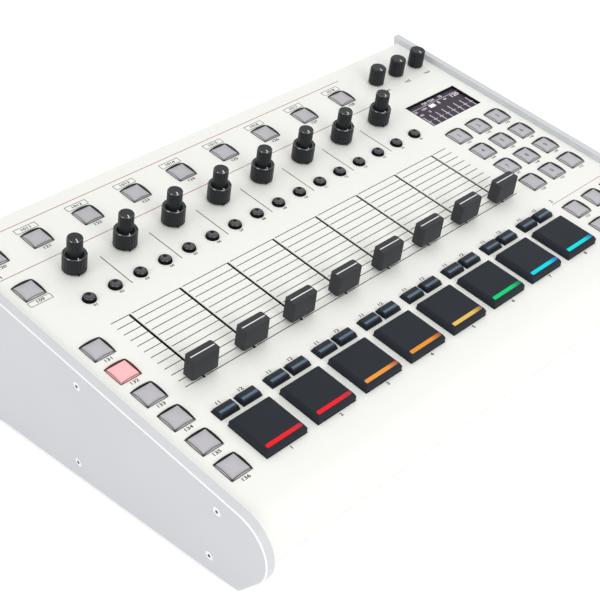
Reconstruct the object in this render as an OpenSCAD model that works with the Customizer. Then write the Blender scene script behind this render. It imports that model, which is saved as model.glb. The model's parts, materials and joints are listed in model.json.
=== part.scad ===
// Eight-channel drum machine: a sloping sheet-metal panel between two metal side plates.
// Millimetres, +Z up, +X to the player's right, +Y to the rear.
// Places on the panel are given as u (right), v (up the slope) and w (out of the panel),
// counted from the lower end of the first fader slot.

/* [Case] */
// Width of the white panel between the side plates
panel_w = 429.3; // [425:0.1:470]
// Slope of the panel
panel_slope = 11.45; // [8:0.05:14]
// Sheet thickness of the panel, the rear panel and the base
sheet_t = 2; // [1.5:0.1:2.2]
// Flat panel below the fader slots, down to the rounded nose
panel_front = 88.5; // [84:0.5:100]
// Flat panel above the fader slots' lower ends, up to the rear edge
panel_rear = 187.2; // [184:0.1:220]
// Height of the panel over the case bottom at the slots' lower ends
slot_end_h = 70.7; // [66:0.1:90]
// Radius of the rounded front nose
nose_r = 20; // [16:0.5:24]
// Angle of the face under the nose, from the table
undercut = 45; // [40:1:60]
// Folded lip at the rear edge of the panel
rear_lip = 10; // [6:0.5:14]
// Depth of the folded side flanges
flange_h = 14; // [12:0.5:18]

/* [Side plates] */
// Thickness of a side plate
plate_t = 6; // [4:0.5:8]
// How far the plates stand over the panel and the nose
plate_proud = 4.2; // [2:0.1:6]
// How far the plates reach past the rear edge
plate_rear = 4; // [3:0.5:8]
// Gap between the panel and each plate
plate_gap = 0.2; // [0.1:0.05:0.3]
// Screw pitch along the upper row
screw_pitch = 117.6; // [100:0.2:119]
// Place of the first upper screw, from the slots' lower ends
screw_first = -72.9; // [-76:0.1:-66]
// Depth of the upper screws under the panel
screw_depth = 7.6; // [6.5:0.1:9]
// Height of the lower screws over the case bottom
screw_low = 11.5; // [9:0.1:14]
// Shank radius of a side screw
screw_r = 1.5; // [1.2:0.05:2]
// Head radius of a side screw
screw_head_r = 3.1; // [2.8:0.05:3.6]

/* [Feet] */
// Radius of a rubber foot
foot_r = 8; // [6:0.5:10]
// Height of a rubber foot
foot_h = 3; // [2:0.5:5]
// Distance of the feet from the ends of the case
foot_inset = 24; // [18:1:40]

/* [Channels] */
// Distance between two channels
channel_pitch = 40; // [39:0.1:41]
// First channel, from the left end of the panel
first_channel = 51.3; // [51:0.1:54]
// Width of a fader slot
slot_w = 2; // [1.7:0.1:2.2]
// Stroke of a fader
fader_travel = 60; // [56:0.5:60]
// Resting place of a fader cap over the slot's lower end
fader_rest = 4.2; // [3.6:0.1:4.6]
// Room that a slot leaves over the lever's upper stop
slot_spare = 1.5; // [1:0.1:3]

/* [Fader caps] */
// Width of a fader cap
fader_cap_w = 20.6; // [16:0.1:22]
// Depth of a fader cap at its foot
fader_cap_d = 9; // [7.5:0.1:11]
// Depth of a fader cap at its top
fader_cap_top = 8.6; // [5:0.1:8.8]
// Height of a fader cap
fader_cap_h = 14.8; // [12:0.1:18]
// Gap between the panel and a fader cap
fader_cap_lift = 2.9; // [1.5:0.1:4]
// Chamfer on the upright edges of a fader cap
fader_cap_chamfer = 1; // [0.5:0.1:2]
// Width of the groove for the painted line across a fader cap's top
fader_line_w = 0.8; // [0.5:0.1:1.5]
// Thickness of a fader lever
lever_t = 1.2; // [0.8:0.1:1.2]
// Width of a fader lever along its slot
lever_d = 4; // [3:0.1:5]

/* [Twin knobs] */
// Centres of the twin knobs over the slots' lower ends
knob_v = 119.7; // [118:0.1:122]
// Radius of a lower knob
lower_knob_r = 7.9; // [7.2:0.1:8.4]
// Top of a lower knob over the panel
lower_knob_h = 13; // [11:0.1:15]
// Radius of an upper knob
upper_knob_r = 5.1; // [4:0.1:5.4]
// Top of an upper knob over the panel
upper_knob_h = 25; // [20:0.1:28]
// Gap between the panel and a knob
knob_lift = 0.8; // [0.6:0.1:1.5]
// Radius of the hollow outer shaft
outer_shaft_r = 3; // [2.6:0.1:3.2]
// Radius of the inner shaft
inner_shaft_r = 1.5; // [1.2:0.1:1.8]
// Turning angle of every knob
knob_turn = 325; // [270:5:330]
// Distance between two ribs round a knob
rib_pitch = 2.4; // [2:0.1:4]
// Depth of the grooves between the ribs
rib_depth = 0.25; // [0.1:0.05:0.4]

/* [Level knobs] */
// Radius of a level knob
level_knob_r = 6; // [5:0.1:7]
// Top of a level knob over the panel
level_knob_h = 14; // [10:0.5:18]
// Centres of the level knobs over the slots' lower ends
level_v = 156.9; // [155:0.1:162]
// First level knob, right of the last channel
level_u = 38.5; // [37:0.1:40]

/* [Square buttons] */
// Width of a square button
square_w = 15.2; // [14:0.1:16]
// Crown height of a square button over the panel
square_h = 3; // [2:0.1:4]
// Radius of the crowned top
crown_r = 26; // [20:1:60]
// Pitch of the button grids
grid_pitch = 22.95; // [22:0.05:23.4]
// Row over the knobs
row_v = 156.9; // [155:0.1:159]
// Column left of the channels, from the first channel
left_u = -34; // [-35:0.1:-33]
// Upper button of the left column
left_v = 55; // [52:0.1:58]
// Single button left of the knobs
shift_v = 119.9; // [118:0.1:122]
// First column of the keypad, right of the last channel
keypad_u = 36.5; // [35:0.1:37.5]
// Upper row of the keypad
keypad_v = 71.3; // [69:0.1:72]
// Upper row of the transport buttons
transport_v = -36.5; // [-38:0.1:-34]

/* [Small buttons] */
// Radius of a round step button
step_r = 4.4; // [3.8:0.1:5]
// Height of a round step button
step_h = 3; // [2:0.1:4]
// Row of the step buttons
step_v = 92.5; // [91:0.1:94]
// Distance of a step button from its channel's line
step_u = 10; // [9:0.1:10.5]
// Width of a mute or solo button
bar_button_w = 14.6; // [13:0.1:15]
// Depth of a mute or solo button
bar_button_d = 8.6; // [7:0.1:9]
// Height of a mute or solo button
bar_button_h = 2.8; // [2:0.1:4]
// Row of the mute and solo buttons
bar_button_v = -26.6; // [-27:0.1:-25]
// Distance of a mute or solo button from its channel's line
bar_button_u = 8.6; // [8.5:0.1:9.2]
// Stroke of the buttons
button_travel = 0.5; // [0.3:0.05:0.6]
// Gap around every button and pad
button_gap = 0.3; // [0.25:0.05:0.4]

/* [Pads] */
// Width of a drum pad at the panel
pad_w = 31.4; // [30.4:0.1:33]
// Width of a drum pad at its top
pad_top = 28.8; // [28:0.1:30.4]
// Height of a drum pad
pad_h = 5.3; // [4.6:0.1:7]
// Height of a drum pad's upright wall, under its chamfer
pad_wall = 3.3; // [2:0.1:4]
// Centres of the drum pads
pad_v = -51.6; // [-53:0.1:-51.4]
// Stroke of a drum pad
pad_travel = 0.8; // [0.4:0.1:1]
// Length of the lit bar on a pad
bar_len = 27.5; // [24:0.1:28]
// Width of the lit bar on a pad
bar_w = 2.9; // [2.5:0.1:4]
// Distance of the lit bar's middle from the pad's centre
bar_off = 12.2; // [9:0.1:12.4]

/* [Display] */
// Width of the display opening
display_w = 56.2; // [50:0.1:58]
// Height of the display opening
display_h = 28.9; // [26:0.1:30]
// Middle of the display, right of the last channel
display_u = 58.9; // [57:0.1:60]
// Middle of the display over the slots' lower ends
display_v = 105.5; // [104:0.1:108]

/* [Sockets] */
// First jack socket, from the right end of the panel
jack_edge = 40; // [30:0.5:50]
// Distance between neighbouring jack sockets
jack_pitch = 26; // [22:0.5:30]
// Bore radius of a jack socket
jack_r = 3.2; // [3.2:0.05:3.4]
// Bore depth of a jack socket
jack_depth = 28; // [24:0.5:32]
// First DIN socket, from the right end of the panel
din_edge = 184.65; // [170:0.05:190]
// Distance between the DIN sockets
din_pitch = 26; // [24:0.5:32]
// Bore radius of a DIN socket
din_r = 7.6; // [7.5:0.05:7.8]
// USB socket, from the right end of the panel
usb_edge = 246.65; // [236:0.05:260]
// Width of the USB socket's mouth
usb_w = 8.6; // [8.5:0.1:9]
// Height of the USB socket's mouth
usb_h = 8; // [7.8:0.1:8.4]
// Power inlet, from the left end of the panel
inlet_edge = 64.65; // [58:0.05:80]
// Bore radius of the power inlet
inlet_r = 3.2; // [2.8:0.1:3.4]
// Power switch, from the left end of the panel
switch_edge = 32.65; // [30:0.05:40]
// Swing of the power rocker
rocker_swing = 16; // [12:1:20]

/* [Hidden] */
$fn = 64;
channels = 8;
level_count = 3;

fit = 0.05;             // radial running clearance of a shaft
seat = 0.3;             // running gap between a moving piece and what is under it
slop = 0.1;             // clearance of a screw, a socket or a pot in its hole
eps = 0.01;             // overlap that makes a cut come out clean
far = 600;              // reach of the cutting blocks
groove_deep = 0.3;      // grooves that hold the white marks of the caps and knobs

// Layers under the panel, as depths from its outer face
under = -sheet_t;       // underside of the panel
body_top = under - seat;
part_deep = 9;          // height of the fader bodies and the pots
board_top = body_top - part_deep;
board_t = 1.6;
rim_t = 1;              // rim that keeps a button under the panel
rim_w = 1;              // how far this rim reaches under the panel
switch_w = 6;
switch_h = 4;           // height of a push switch on the board
stem_r = 1.8;
stem_end = board_top + switch_h + seat + button_travel;
pad_rim_t = 2;
tray_top = body_top - pad_rim_t - pad_travel - seat;
tray_t = 2;
post_r = 2.5;

// A fader slot reaches past the lever at the end of its stroke
slot_len = fader_rest + fader_travel + lever_d / 2 + slot_spare;

// Panel frame
mid_u = panel_w / 2 - first_channel;
last_u = channel_pitch * (channels - 1);
left_end = -first_channel + plate_gap;
right_end = left_end + panel_w - 2 * plate_gap;
function section(v, w) = [v * cos(panel_slope) - w * sin(panel_slope), v * sin(panel_slope) + w * cos(panel_slope)];
bottom = -slot_end_h;
rear_y = section(panel_rear, 0)[0];
nose = section(-panel_front, -nose_r);
plate_nose_y = nose[0] - nose_r - plate_proud;
mid_y = (plate_nose_y + rear_y + plate_rear) / 2;
rise = slot_end_h + foot_h;

// Case outline in the Y-Z plane, with its top and front moved in by inset
nose_steps = 32;
nose_from = 270 - undercut;
nose_to = 90 + panel_slope;
function outline_nose(inset) = [for (k = [0:nose_steps]) let (a = nose_from + (nose_to - nose_from) * k / nose_steps)
    nose + (nose_r - inset) * [cos(a), sin(a)]];
function outline_foot(inset) = let (d = outline_nose(inset)[0]) [d[0] + (d[1] - bottom) / tan(undercut), bottom];
function outline_top(inset, y) = let (v = (y - inset * sin(panel_slope)) / cos(panel_slope)) [y, section(v, -inset)[1]];
module case_outline(inset, y) {
    polygon(concat([outline_top(inset, y), [y, bottom], outline_foot(inset)], outline_nose(inset)));
}

// Moves its children from the panel's frame, or from the section's frame, into the row frame
module lift() { translate([0, -mid_y, rise]) children(); }
module on_panel(u, v, w = 0) { lift() rotate([panel_slope, 0, 0]) translate([u - mid_u, v, w]) children(); }
module along_x(x, length) { lift() translate([x, 0, 0]) rotate([90, 0, 90]) linear_extrude(length) children(); }
module at_channels() { for (i = [0:channels - 1]) translate([i * channel_pitch, 0, 0]) children(); }

// Box centred in u and v, between two heights
module block(a, b, low, high) { translate([-a / 2, -b / 2, low]) cube([a, b, high - low]); }
// Box whose sides lean in from a by b at its foot to a2 by b2 at its top
module leaning_block(a, b, a2, b2, low, high) {
    intersection() {
        translate([0, b, 0]) rotate([90, 0, 0]) linear_extrude(2 * b)
            polygon([[-a / 2, low], [a / 2, low], [a2 / 2, high], [-a2 / 2, high]]);
        translate([-a, 0, 0]) rotate([90, 0, 90]) linear_extrude(2 * a)
            polygon([[-b / 2, low], [b / 2, low], [b2 / 2, high], [-b2 / 2, high]]);
    }
}

// Places of the square buttons, as [u, v]
function_places = concat([for (i = [0:channels - 1]) [i * channel_pitch, row_v]],
                         [[left_u, row_v], [left_u, shift_v]]);
mode_places = [for (j = [0:5]) [left_u, left_v - j * grid_pitch]];
keypad_places = [for (j = [0:3]) for (k = [0:2]) [last_u + keypad_u + k * grid_pitch, keypad_v - j * grid_pitch]];
transport_places = [for (j = [0:1]) for (k = [0:2])
    [last_u + keypad_u + k * grid_pitch, transport_v - j * grid_pitch]];
square_places = concat(function_places, mode_places, keypad_places, transport_places);
step_places = [for (i = [0:channels - 1]) for (s = [-1, 1]) [i * channel_pitch + s * step_u, step_v]];
mute_places = [for (i = [0:channels - 1]) [i * channel_pitch - bar_button_u, bar_button_v]];
solo_places = [for (i = [0:channels - 1]) [i * channel_pitch + bar_button_u, bar_button_v]];
level_places = [for (k = [0:level_count - 1]) [last_u + level_u + k * grid_pitch, level_v]];
module at_places(places) { for (p = places) translate([p[0], p[1], 0]) children(); }

// Screws: upper row in the panel's flanges, lower row in the base's flanges
upper_screws = [for (i = [0:2]) section(screw_first + i * screw_pitch, -screw_depth)];
lower_screws = [for (p = upper_screws) [p[0] + 9, bottom + screw_low]];
module at_screws(places) { for (p = places) lift() translate([0, p[0], p[1]]) rotate([0, 90, 0]) children(); }

module panel_holes() {
    at_channels() {
        translate([-slot_w / 2, 0, -sheet_t - eps]) cube([slot_w, slot_len, sheet_t + 2 * eps]);
        translate([0, knob_v, 0]) shaft_hole();
        translate([0, pad_v, 0]) block(pad_w + 2 * button_gap, pad_w + 2 * button_gap, -sheet_t - eps, eps);
    }
    at_places(level_places) shaft_hole();
    at_places(square_places) block(square_w + 2 * button_gap, square_w + 2 * button_gap, -sheet_t - eps, eps);
    at_places(step_places) translate([0, 0, -sheet_t - eps]) cylinder(r = step_r + button_gap, h = sheet_t + 2 * eps);
    at_places(concat(mute_places, solo_places))
        block(bar_button_w + 2 * button_gap, bar_button_d + 2 * button_gap, -sheet_t - eps, eps);
    translate([last_u + display_u, display_v, 0]) block(display_w, display_h, -sheet_t - eps, eps);
}
bush_r = outer_shaft_r + fit + 0.5;
module shaft_hole() { translate([0, 0, -sheet_t - eps]) cylinder(r = bush_r + slop, h = sheet_t + 2 * eps); }

module top_panel() {
    color([0.95, 0.95, 0.93]) difference() {
        union() {
            along_x(left_end - mid_u, right_end - left_end) difference() {
                case_outline(0, rear_y);
                case_outline(sheet_t, rear_y - sheet_t);
                translate([-far / 2, bottom - eps]) square([far, sheet_t + eps]);
                translate([rear_y - sheet_t - eps, bottom]) square([far, outline_top(0, rear_y)[1] - rear_lip - bottom]);
            }
            for (u = [left_end, right_end - sheet_t])
                on_panel(u, -panel_front, -flange_h) cube([sheet_t, panel_front + panel_rear - rear_lip, flange_h - sheet_t / 2]);
        }
        on_panel(0, 0) panel_holes();
        at_screws(upper_screws) cylinder(r = screw_r + slop, h = far, center = true);
    }
}

module side_plate(side) {
    x = side > 0 ? panel_w / 2 : -panel_w / 2 - plate_t;
    color([0.84, 0.85, 0.86]) difference() {
        along_x(x, plate_t) case_outline(-plate_proud, rear_y + plate_rear);
        at_screws(concat(upper_screws, lower_screws)) {
            cylinder(r = screw_r + slop, h = far, center = true);
            mirror([0, 0, side > 0 ? 0 : 1]) translate([0, 0, panel_w / 2 + plate_t - screw_sunk]) {
                translate([0, 0, -screw_head_h]) cylinder(r1 = screw_r + fit, r2 = screw_head_r + fit, h = screw_head_h);
                translate([0, 0, -eps]) cylinder(r = screw_head_r + fit, h = screw_sunk + 2 * eps);
            }
        }
    }
}
screw_head_h = screw_head_r - screw_r;
screw_sunk = 0.2;       // how far a countersunk head lies under the plate's face
screw_reach = plate_t + plate_gap + sheet_t + 2;

module left_side_plate() { side_plate(-1); }
module right_side_plate() { side_plate(1); }

module side_screws() {
    color([0.75, 0.76, 0.78]) for (side = [-1, 1]) at_screws(concat(upper_screws, lower_screws))
        mirror([0, 0, side > 0 ? 0 : 1]) translate([0, 0, panel_w / 2 + plate_t - screw_sunk]) difference() {
            union() {
                translate([0, 0, -screw_head_h]) cylinder(r1 = screw_r, r2 = screw_head_r, h = screw_head_h);
                translate([0, 0, -screw_reach]) cylinder(r = screw_r, h = screw_reach - screw_head_h);
            }
            translate([0, 0, -1.2]) cylinder(r = 1.2, h = 1.3, $fn = 6);
        }
}

module base_pan() {
    color([0.72, 0.73, 0.74]) difference() {
        union() {
            along_x(left_end - mid_u, right_end - left_end) intersection() {
                case_outline(0, rear_y - sheet_t);
                translate([-far / 2, bottom]) square([far, sheet_t]);
            }
            for (x = [left_end - mid_u, right_end - mid_u - sheet_t])
                along_x(x, sheet_t) intersection() {
                    case_outline(sheet_t + slop, rear_y - 2 * sheet_t - slop);
                    translate([-far / 2, bottom]) square([far, screw_low + 6]);
                }
        }
        at_screws(lower_screws) cylinder(r = screw_r + slop, h = far, center = true);
    }
}

foot_places = [for (s = [-1, 1]) for (y = [outline_foot(0)[0] + foot_inset - mid_y, rear_y - foot_inset - mid_y])
    [s * (panel_w / 2 - foot_inset), y]];
module rubber_feet() {
    color([0.12, 0.12, 0.12]) for (p = foot_places) translate([p[0], p[1], 0])
        cylinder(r1 = foot_r - 1, r2 = foot_r, h = foot_h);
}

// Rear connectors: each stands on the rear board with its axis at one height
port_up = 10.5;
io_gap = 6;
io_top = bottom + sheet_t + io_gap + board_t;
port_z = io_top + port_up;
port_face = rear_y - sheet_t;
io_deep = 45;
jack_count = 4;
jack_x = [for (i = [0:jack_count - 1]) panel_w / 2 - jack_edge - i * jack_pitch];
din_x = [for (i = [0:1]) panel_w / 2 - din_edge - i * din_pitch];
usb_x = panel_w / 2 - usb_edge;
inlet_x = inlet_edge - panel_w / 2;
switch_x = switch_edge - panel_w / 2;
module at_port(x) { lift() translate([x, port_face, port_z]) rotate([-90, 0, 0]) children(); }
// In a port's frame +z points out of the rear face and +y points down to the board
module port_body(a, up, deep) { translate([-a / 2, -up, -sheet_t - deep]) cube([a, up + port_up, deep]); }

module rear_panel() {
    color([0.95, 0.95, 0.93]) difference() {
        along_x(left_end - mid_u, right_end - left_end) intersection() {
            case_outline(sheet_t + slop, port_face);
            translate([port_face - sheet_t, bottom + sheet_t]) square([sheet_t, far]);
        }
        for (x = jack_x) at_port(x) cylinder(r = jack_collar_r + slop, h = far, center = true);
        for (x = din_x) at_port(x) cylinder(r = din_r + din_wall + slop, h = far, center = true);
        at_port(usb_x) cube([usb_w + 2 * usb_wall + 2 * slop, usb_h + 2 * usb_wall + 2 * slop, far], center = true);
        at_port(inlet_x) cylinder(r = inlet_r + 1 + slop, h = far, center = true);
        at_port(switch_x) cube([rocker_box_w + 2 * slop, rocker_box_h + 2 * slop, far], center = true);
    }
}

jack_collar_r = jack_r + 1.4;
module jack_sockets() {
    color([0.1, 0.1, 0.11]) for (x = jack_x) at_port(x) difference() {
        union() {
            port_body(15, 7.5, jack_depth);
            translate([0, 0, -sheet_t - eps]) cylinder(r = jack_collar_r, h = sheet_t + 2 * eps);
            cylinder(r = jack_collar_r + 2.4, h = 1.6, $fn = 6);
            cylinder(r = jack_collar_r, h = 2);
        }
        translate([0, 0, 2 - jack_depth]) cylinder(r = jack_r, h = jack_depth + eps);
    }
}

din_wall = 1;
din_depth = 10;
usb_wall = 1;
usb_depth = 9;
module data_sockets() {
    color([0.12, 0.12, 0.13]) {
        for (x = din_x) at_port(x) difference() {
            union() {
                port_body(2 * (din_r + din_wall) + 2, din_r + din_wall + 0.5, din_depth + 2);
                translate([0, 0, -sheet_t - eps]) cylinder(r = din_r + din_wall, h = sheet_t + eps);
            }
            translate([0, 0, -din_depth]) cylinder(r = din_r, h = din_depth + eps);
        }
        at_port(usb_x) difference() {
            union() {
                port_body(usb_w + 2 * usb_wall, usb_h / 2 + usb_wall, usb_depth + 3);
                block(usb_w + 2 * usb_wall, usb_h + 2 * usb_wall, -sheet_t - eps, 0.4);
            }
            block(usb_w, usb_h, -usb_depth, 1);
        }
    }
}

inlet_depth = 9.5;
module power_inlet() {
    color([0.1, 0.1, 0.1]) at_port(inlet_x) difference() {
        union() {
            port_body(2 * inlet_r + 4, inlet_r + 2, inlet_depth + 3);
            translate([0, 0, -sheet_t - eps]) cylinder(r = inlet_r + 1, h = sheet_t + eps);
        }
        translate([0, 0, -inlet_depth]) cylinder(r = inlet_r, h = inlet_depth + eps);
    }
}

// Power rocker: a V-faced key on a pin in its housing, resting tipped to one side
rocker_w = 10;
rocker_half = 8;
rocker_back = -5;
rocker_room = 0.6;
pin_r = 1.2;
pin_reach = 1;
rocker_box_w = rocker_w + 2 * rocker_room + 3;
rocker_box_h = 2 * (port_up - slop);
module power_switch_housing() {
    color([0.1, 0.1, 0.1]) at_port(switch_x) difference() {
        union() {
            block(rocker_box_w, rocker_box_h, rocker_back - 8, 0.5);
            block(rocker_box_w + 3, rocker_box_h + 3, eps, 1);
            translate([-rocker_w / 2, 0, rocker_back - 8]) cube([rocker_w, port_up, 8]);
        }
        block(rocker_w + 2 * rocker_room, 2 * rocker_half + 4 * rocker_room, rocker_back - 5, 2);
        translate([0, 0, rocker_back]) rotate([0, 90, 0])
            cylinder(r = pin_r + fit, h = rocker_w + 2 * rocker_room + 2 * pin_reach + 2 * slop, center = true);
    }
}
module power_rocker() {
    color([0.08, 0.08, 0.08]) at_port(switch_x) translate([0, 0, rocker_back]) rotate([-rocker_swing / 2, 0, 0]) {
        rotate([90, 0, 90]) translate([0, 0, -rocker_w / 2]) linear_extrude(rocker_w)
            polygon([[-3, -2.5], [3, -2.5], [rocker_half, 5], [0, 6.5], [-rocker_half, 5]]);
        rotate([0, 90, 0]) cylinder(r = pin_r, h = rocker_w + 2 * rocker_room + 2 * pin_reach, center = true);
    }
}

// Boards: the control board with its push switches and spacers, and the connector board at the rear
board_u = [left_end + 5, right_end - 5];
board_v = [-panel_front + 14, panel_rear - 12];
spacer_places = [for (i = [0:2:6]) for (v = [bar_button_v, 76, 139]) [(i + 0.5) * channel_pitch, v]];
module circuit_boards() {
    color([0.1, 0.35, 0.2]) {
        on_panel(0, 0) {
            translate([board_u[0], board_v[0], board_top - board_t])
                cube([board_u[1] - board_u[0], board_v[1] - board_v[0], board_t]);
            at_places(concat(square_places, step_places, mute_places, solo_places))
                block(switch_w, switch_w, board_top - eps, board_top + switch_h);
            at_places(spacer_places) translate([0, 0, board_top - eps])
                cylinder(r = post_r, h = under - board_top + eps);
        }
        lift() {
            translate([-panel_w / 2 + 10, port_face - sheet_t - io_deep, io_top - board_t])
                cube([panel_w - 20, io_deep, board_t]);
            for (x = [-panel_w / 2 + 20, -70, 70, panel_w / 2 - 20])
                translate([x, port_face - io_deep + 3, bottom + sheet_t]) cylinder(r = 3, h = io_gap + eps);
        }
    }
}

module fader_bodies() {
    body_w = 12;
    color([0.25, 0.25, 0.26]) on_panel(0, 0) at_channels() difference() {
        translate([-body_w / 2, -8, board_top]) cube([body_w, slot_len + 16, part_deep]);
        translate([-lever_t / 2 - 1, -eps, board_top + 2]) cube([lever_t + 2, slot_len + 2 * eps, part_deep]);
    }
}

module fader_cap(i) {
    top = fader_cap_lift + fader_cap_h;
    color([0.16, 0.17, 0.18]) on_panel((i - 1) * channel_pitch, fader_rest) {
        difference() {
            intersection() {
                leaning_block(fader_cap_w, fader_cap_d, fader_cap_w - 0.2, fader_cap_top, fader_cap_lift, top);
                linear_extrude(top + 1) chamfered_square(fader_cap_w, fader_cap_d, fader_cap_chamfer);
            }
            block(fader_cap_w + 1, fader_line_w, top - groove_deep, top + 1);
        }
        block(lever_t, lever_d, board_top + 2 + seat, fader_cap_lift + 3);
    }
}
module chamfered_square(a, b, c) {
    polygon([for (q = [[-1, -1], [1, -1], [1, 1], [-1, 1]]) each
        (q[0] == q[1] ? [[q[0] * a / 2, q[1] * (b / 2 - c)], [q[0] * (a / 2 - c), q[1] * b / 2]]
                      : [[q[0] * (a / 2 - c), q[1] * b / 2], [q[0] * a / 2, q[1] * (b / 2 - c)]])]);
}

// Twin potentiometers under the twin knobs, single ones under the level knobs
outer_shaft_end = board_top + 5;
inner_shaft_end = board_top + 2;
pot_w = 12;
module pot(deep_r) {
    difference() {
        union() {
            block(pot_w, pot_w, board_top, body_top);
            translate([0, 0, body_top - eps]) cylinder(r = bush_r, h = knob_lift - seat - body_top + eps);
        }
        translate([0, 0, outer_shaft_end - seat]) cylinder(r = outer_shaft_r + fit, h = far);
        if (deep_r > 0) translate([0, 0, inner_shaft_end - seat]) cylinder(r = deep_r, h = far);
    }
}
module knob_pots() {
    color([0.3, 0.3, 0.31]) on_panel(0, 0) {
        at_channels() translate([0, knob_v, 0]) pot(inner_shaft_r + fit);
        at_places(level_places) pot(0);
    }
}

// Grooves between the ribs of a knob's grip
groove_r = 0.7;
module rib_grooves(r, low, high) {
    count = round(2 * PI * r / rib_pitch);
    for (k = [0:count - 1]) rotate([0, 0, 360 * k / count])
        translate([r + groove_r - rib_depth, 0, low]) cylinder(r = groove_r, h = high - low, $fn = 24);
}
// Groove of a pointer in a knob's top, turned to the knob's lower stop
pointer_w = 0.7;
pointer_rest = -90 - (360 - knob_turn) / 2;
module pointer(from, to, top) {
    rotate([0, 0, pointer_rest]) translate([from, -pointer_w / 2, top - groove_deep])
        cube([to - from, pointer_w, groove_deep + eps]);
}

// Lower knob: a ribbed cup on the hollow outer shaft, with a nub at its foot under the pointer
cup_r = upper_knob_r + 0.5;
cup_deep = 2.5;
nub_h = 1.3;
module lower_knob(i) {
    color([0.14, 0.14, 0.15]) on_panel((i - 1) * channel_pitch, knob_v) {
        difference() {
            rotate_extrude() polygon([
                [inner_shaft_r + fit, outer_shaft_end], [outer_shaft_r, outer_shaft_end], [outer_shaft_r, knob_lift],
                [lower_knob_r, knob_lift], [lower_knob_r, lower_knob_h - 0.8], [lower_knob_r - 0.8, lower_knob_h],
                [cup_r, lower_knob_h], [cup_r, lower_knob_h - cup_deep], [inner_shaft_r + fit, lower_knob_h - cup_deep]]);
            rib_grooves(lower_knob_r, knob_lift + nub_h + 0.5, lower_knob_h - 1.4);
            pointer(cup_r + 0.3, lower_knob_r - 0.9, lower_knob_h);
        }
        rotate([0, 0, pointer_rest]) translate([lower_knob_r, 0, 0]) block(1.6, 1.4, knob_lift, knob_lift + nub_h);
    }
}
// Upper knob: its foot sits in the lower knob's cup
module upper_knob(i) {
    color([0.14, 0.14, 0.15]) on_panel((i - 1) * channel_pitch, knob_v) difference() {
        rotate_extrude() polygon([
            [0, inner_shaft_end], [inner_shaft_r, inner_shaft_end], [inner_shaft_r, lower_knob_h - cup_deep + seat],
            [upper_knob_r, lower_knob_h - cup_deep + seat], [upper_knob_r, upper_knob_h - 0.5],
            [upper_knob_r - 0.5, upper_knob_h], [0, upper_knob_h]]);
        rib_grooves(upper_knob_r, lower_knob_h + 0.5, upper_knob_h - 1.2);
        pointer(1.4, upper_knob_r - 0.6, upper_knob_h);
    }
}
module level_knob(k) {
    p = level_places[k - 1];
    color([0.14, 0.14, 0.15]) on_panel(p[0], p[1]) difference() {
        rotate_extrude() polygon([
            [0, outer_shaft_end], [outer_shaft_r, outer_shaft_end], [outer_shaft_r, knob_lift],
            [level_knob_r, knob_lift], [level_knob_r, level_knob_h - 0.8], [level_knob_r - 0.8, level_knob_h],
            [0, level_knob_h]]);
        rib_grooves(level_knob_r, knob_lift + 1.5, level_knob_h - 1.4);
        pointer(2, level_knob_r - 0.9, level_knob_h);
    }
}

// Buttons: a cap through the panel, a rim that keeps it in, and a stem over its push switch
module stem() { translate([0, 0, stem_end]) cylinder(r = stem_r, h = body_top - rim_t - stem_end + eps); }
module square_buttons(places) {
    color([0.78, 0.76, 0.79]) on_panel(0, 0) at_places(places) {
        intersection() {
            block(square_w, square_w, body_top - rim_t, square_h + 1);
            translate([0, 0, square_h - crown_r]) sphere(crown_r);
        }
        block(square_w + 2 * rim_w, square_w + 2 * rim_w, body_top - rim_t, body_top);
        stem();
    }
}
module function_buttons() { square_buttons(function_places); }
module mode_buttons() { square_buttons(mode_places); }
module keypad_buttons() { square_buttons(keypad_places); }
module transport_buttons() { square_buttons(transport_places); }

module step_buttons() {
    flat_r = step_r - 1.6;
    color([0.13, 0.13, 0.14]) on_panel(0, 0) at_places(step_places) {
        rotate_extrude() polygon([[0, body_top - rim_t], [step_r + rim_w, body_top - rim_t], [step_r + rim_w, body_top],
            [step_r, body_top], [step_r, 0.6], [step_r - 0.9, step_h - 0.4], [flat_r, step_h], [0, step_h]]);
        stem();
    }
}
module bar_buttons(places) {
    color([0.12, 0.15, 0.2]) on_panel(0, 0) at_places(places) {
        block(bar_button_w, bar_button_d, body_top - rim_t, 0.4);
        leaning_block(bar_button_w, bar_button_d, bar_button_w - 1.6, bar_button_d - 1.6, 0.4 - eps, bar_button_h);
        block(bar_button_w + rim_w, bar_button_d + 2 * rim_w, body_top - rim_t, body_top);
        stem();
    }
}
module mute_buttons() { bar_buttons(mute_places); }
module solo_buttons() { bar_buttons(solo_places); }

module drum_pad(i) {
    groove = 1;
    color([0.2, 0.21, 0.24]) on_panel((i - 1) * channel_pitch, pad_v) {
        difference() {
            union() {
                block(pad_w, pad_w, body_top - eps, pad_wall);
                leaning_block(pad_w, pad_w, pad_top, pad_top, pad_wall - eps, pad_h);
                block(pad_w + 2 * rim_w, pad_w + 2 * rim_w, body_top - pad_rim_t, body_top);
            }
            translate([0, -bar_off, 0]) block(bar_len, bar_w, pad_h - groove, pad_h + 1);
        }
        translate([0, -bar_off, 0]) block(bar_len - 2 * slop, bar_w - 2 * slop, pad_h - groove, pad_h + slop);
    }
}
module pad_tray() {
    color([0.16, 0.16, 0.17]) on_panel(0, pad_v) {
        translate([-pad_w / 2, -pad_w / 2, tray_top - tray_t]) cube([last_u + pad_w, pad_w, tray_t]);
        for (i = [0:2:6]) translate([(i + 0.5) * channel_pitch, 0, board_top])
            cylinder(r = post_r, h = tray_top - tray_t - board_top + eps);
    }
}

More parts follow.
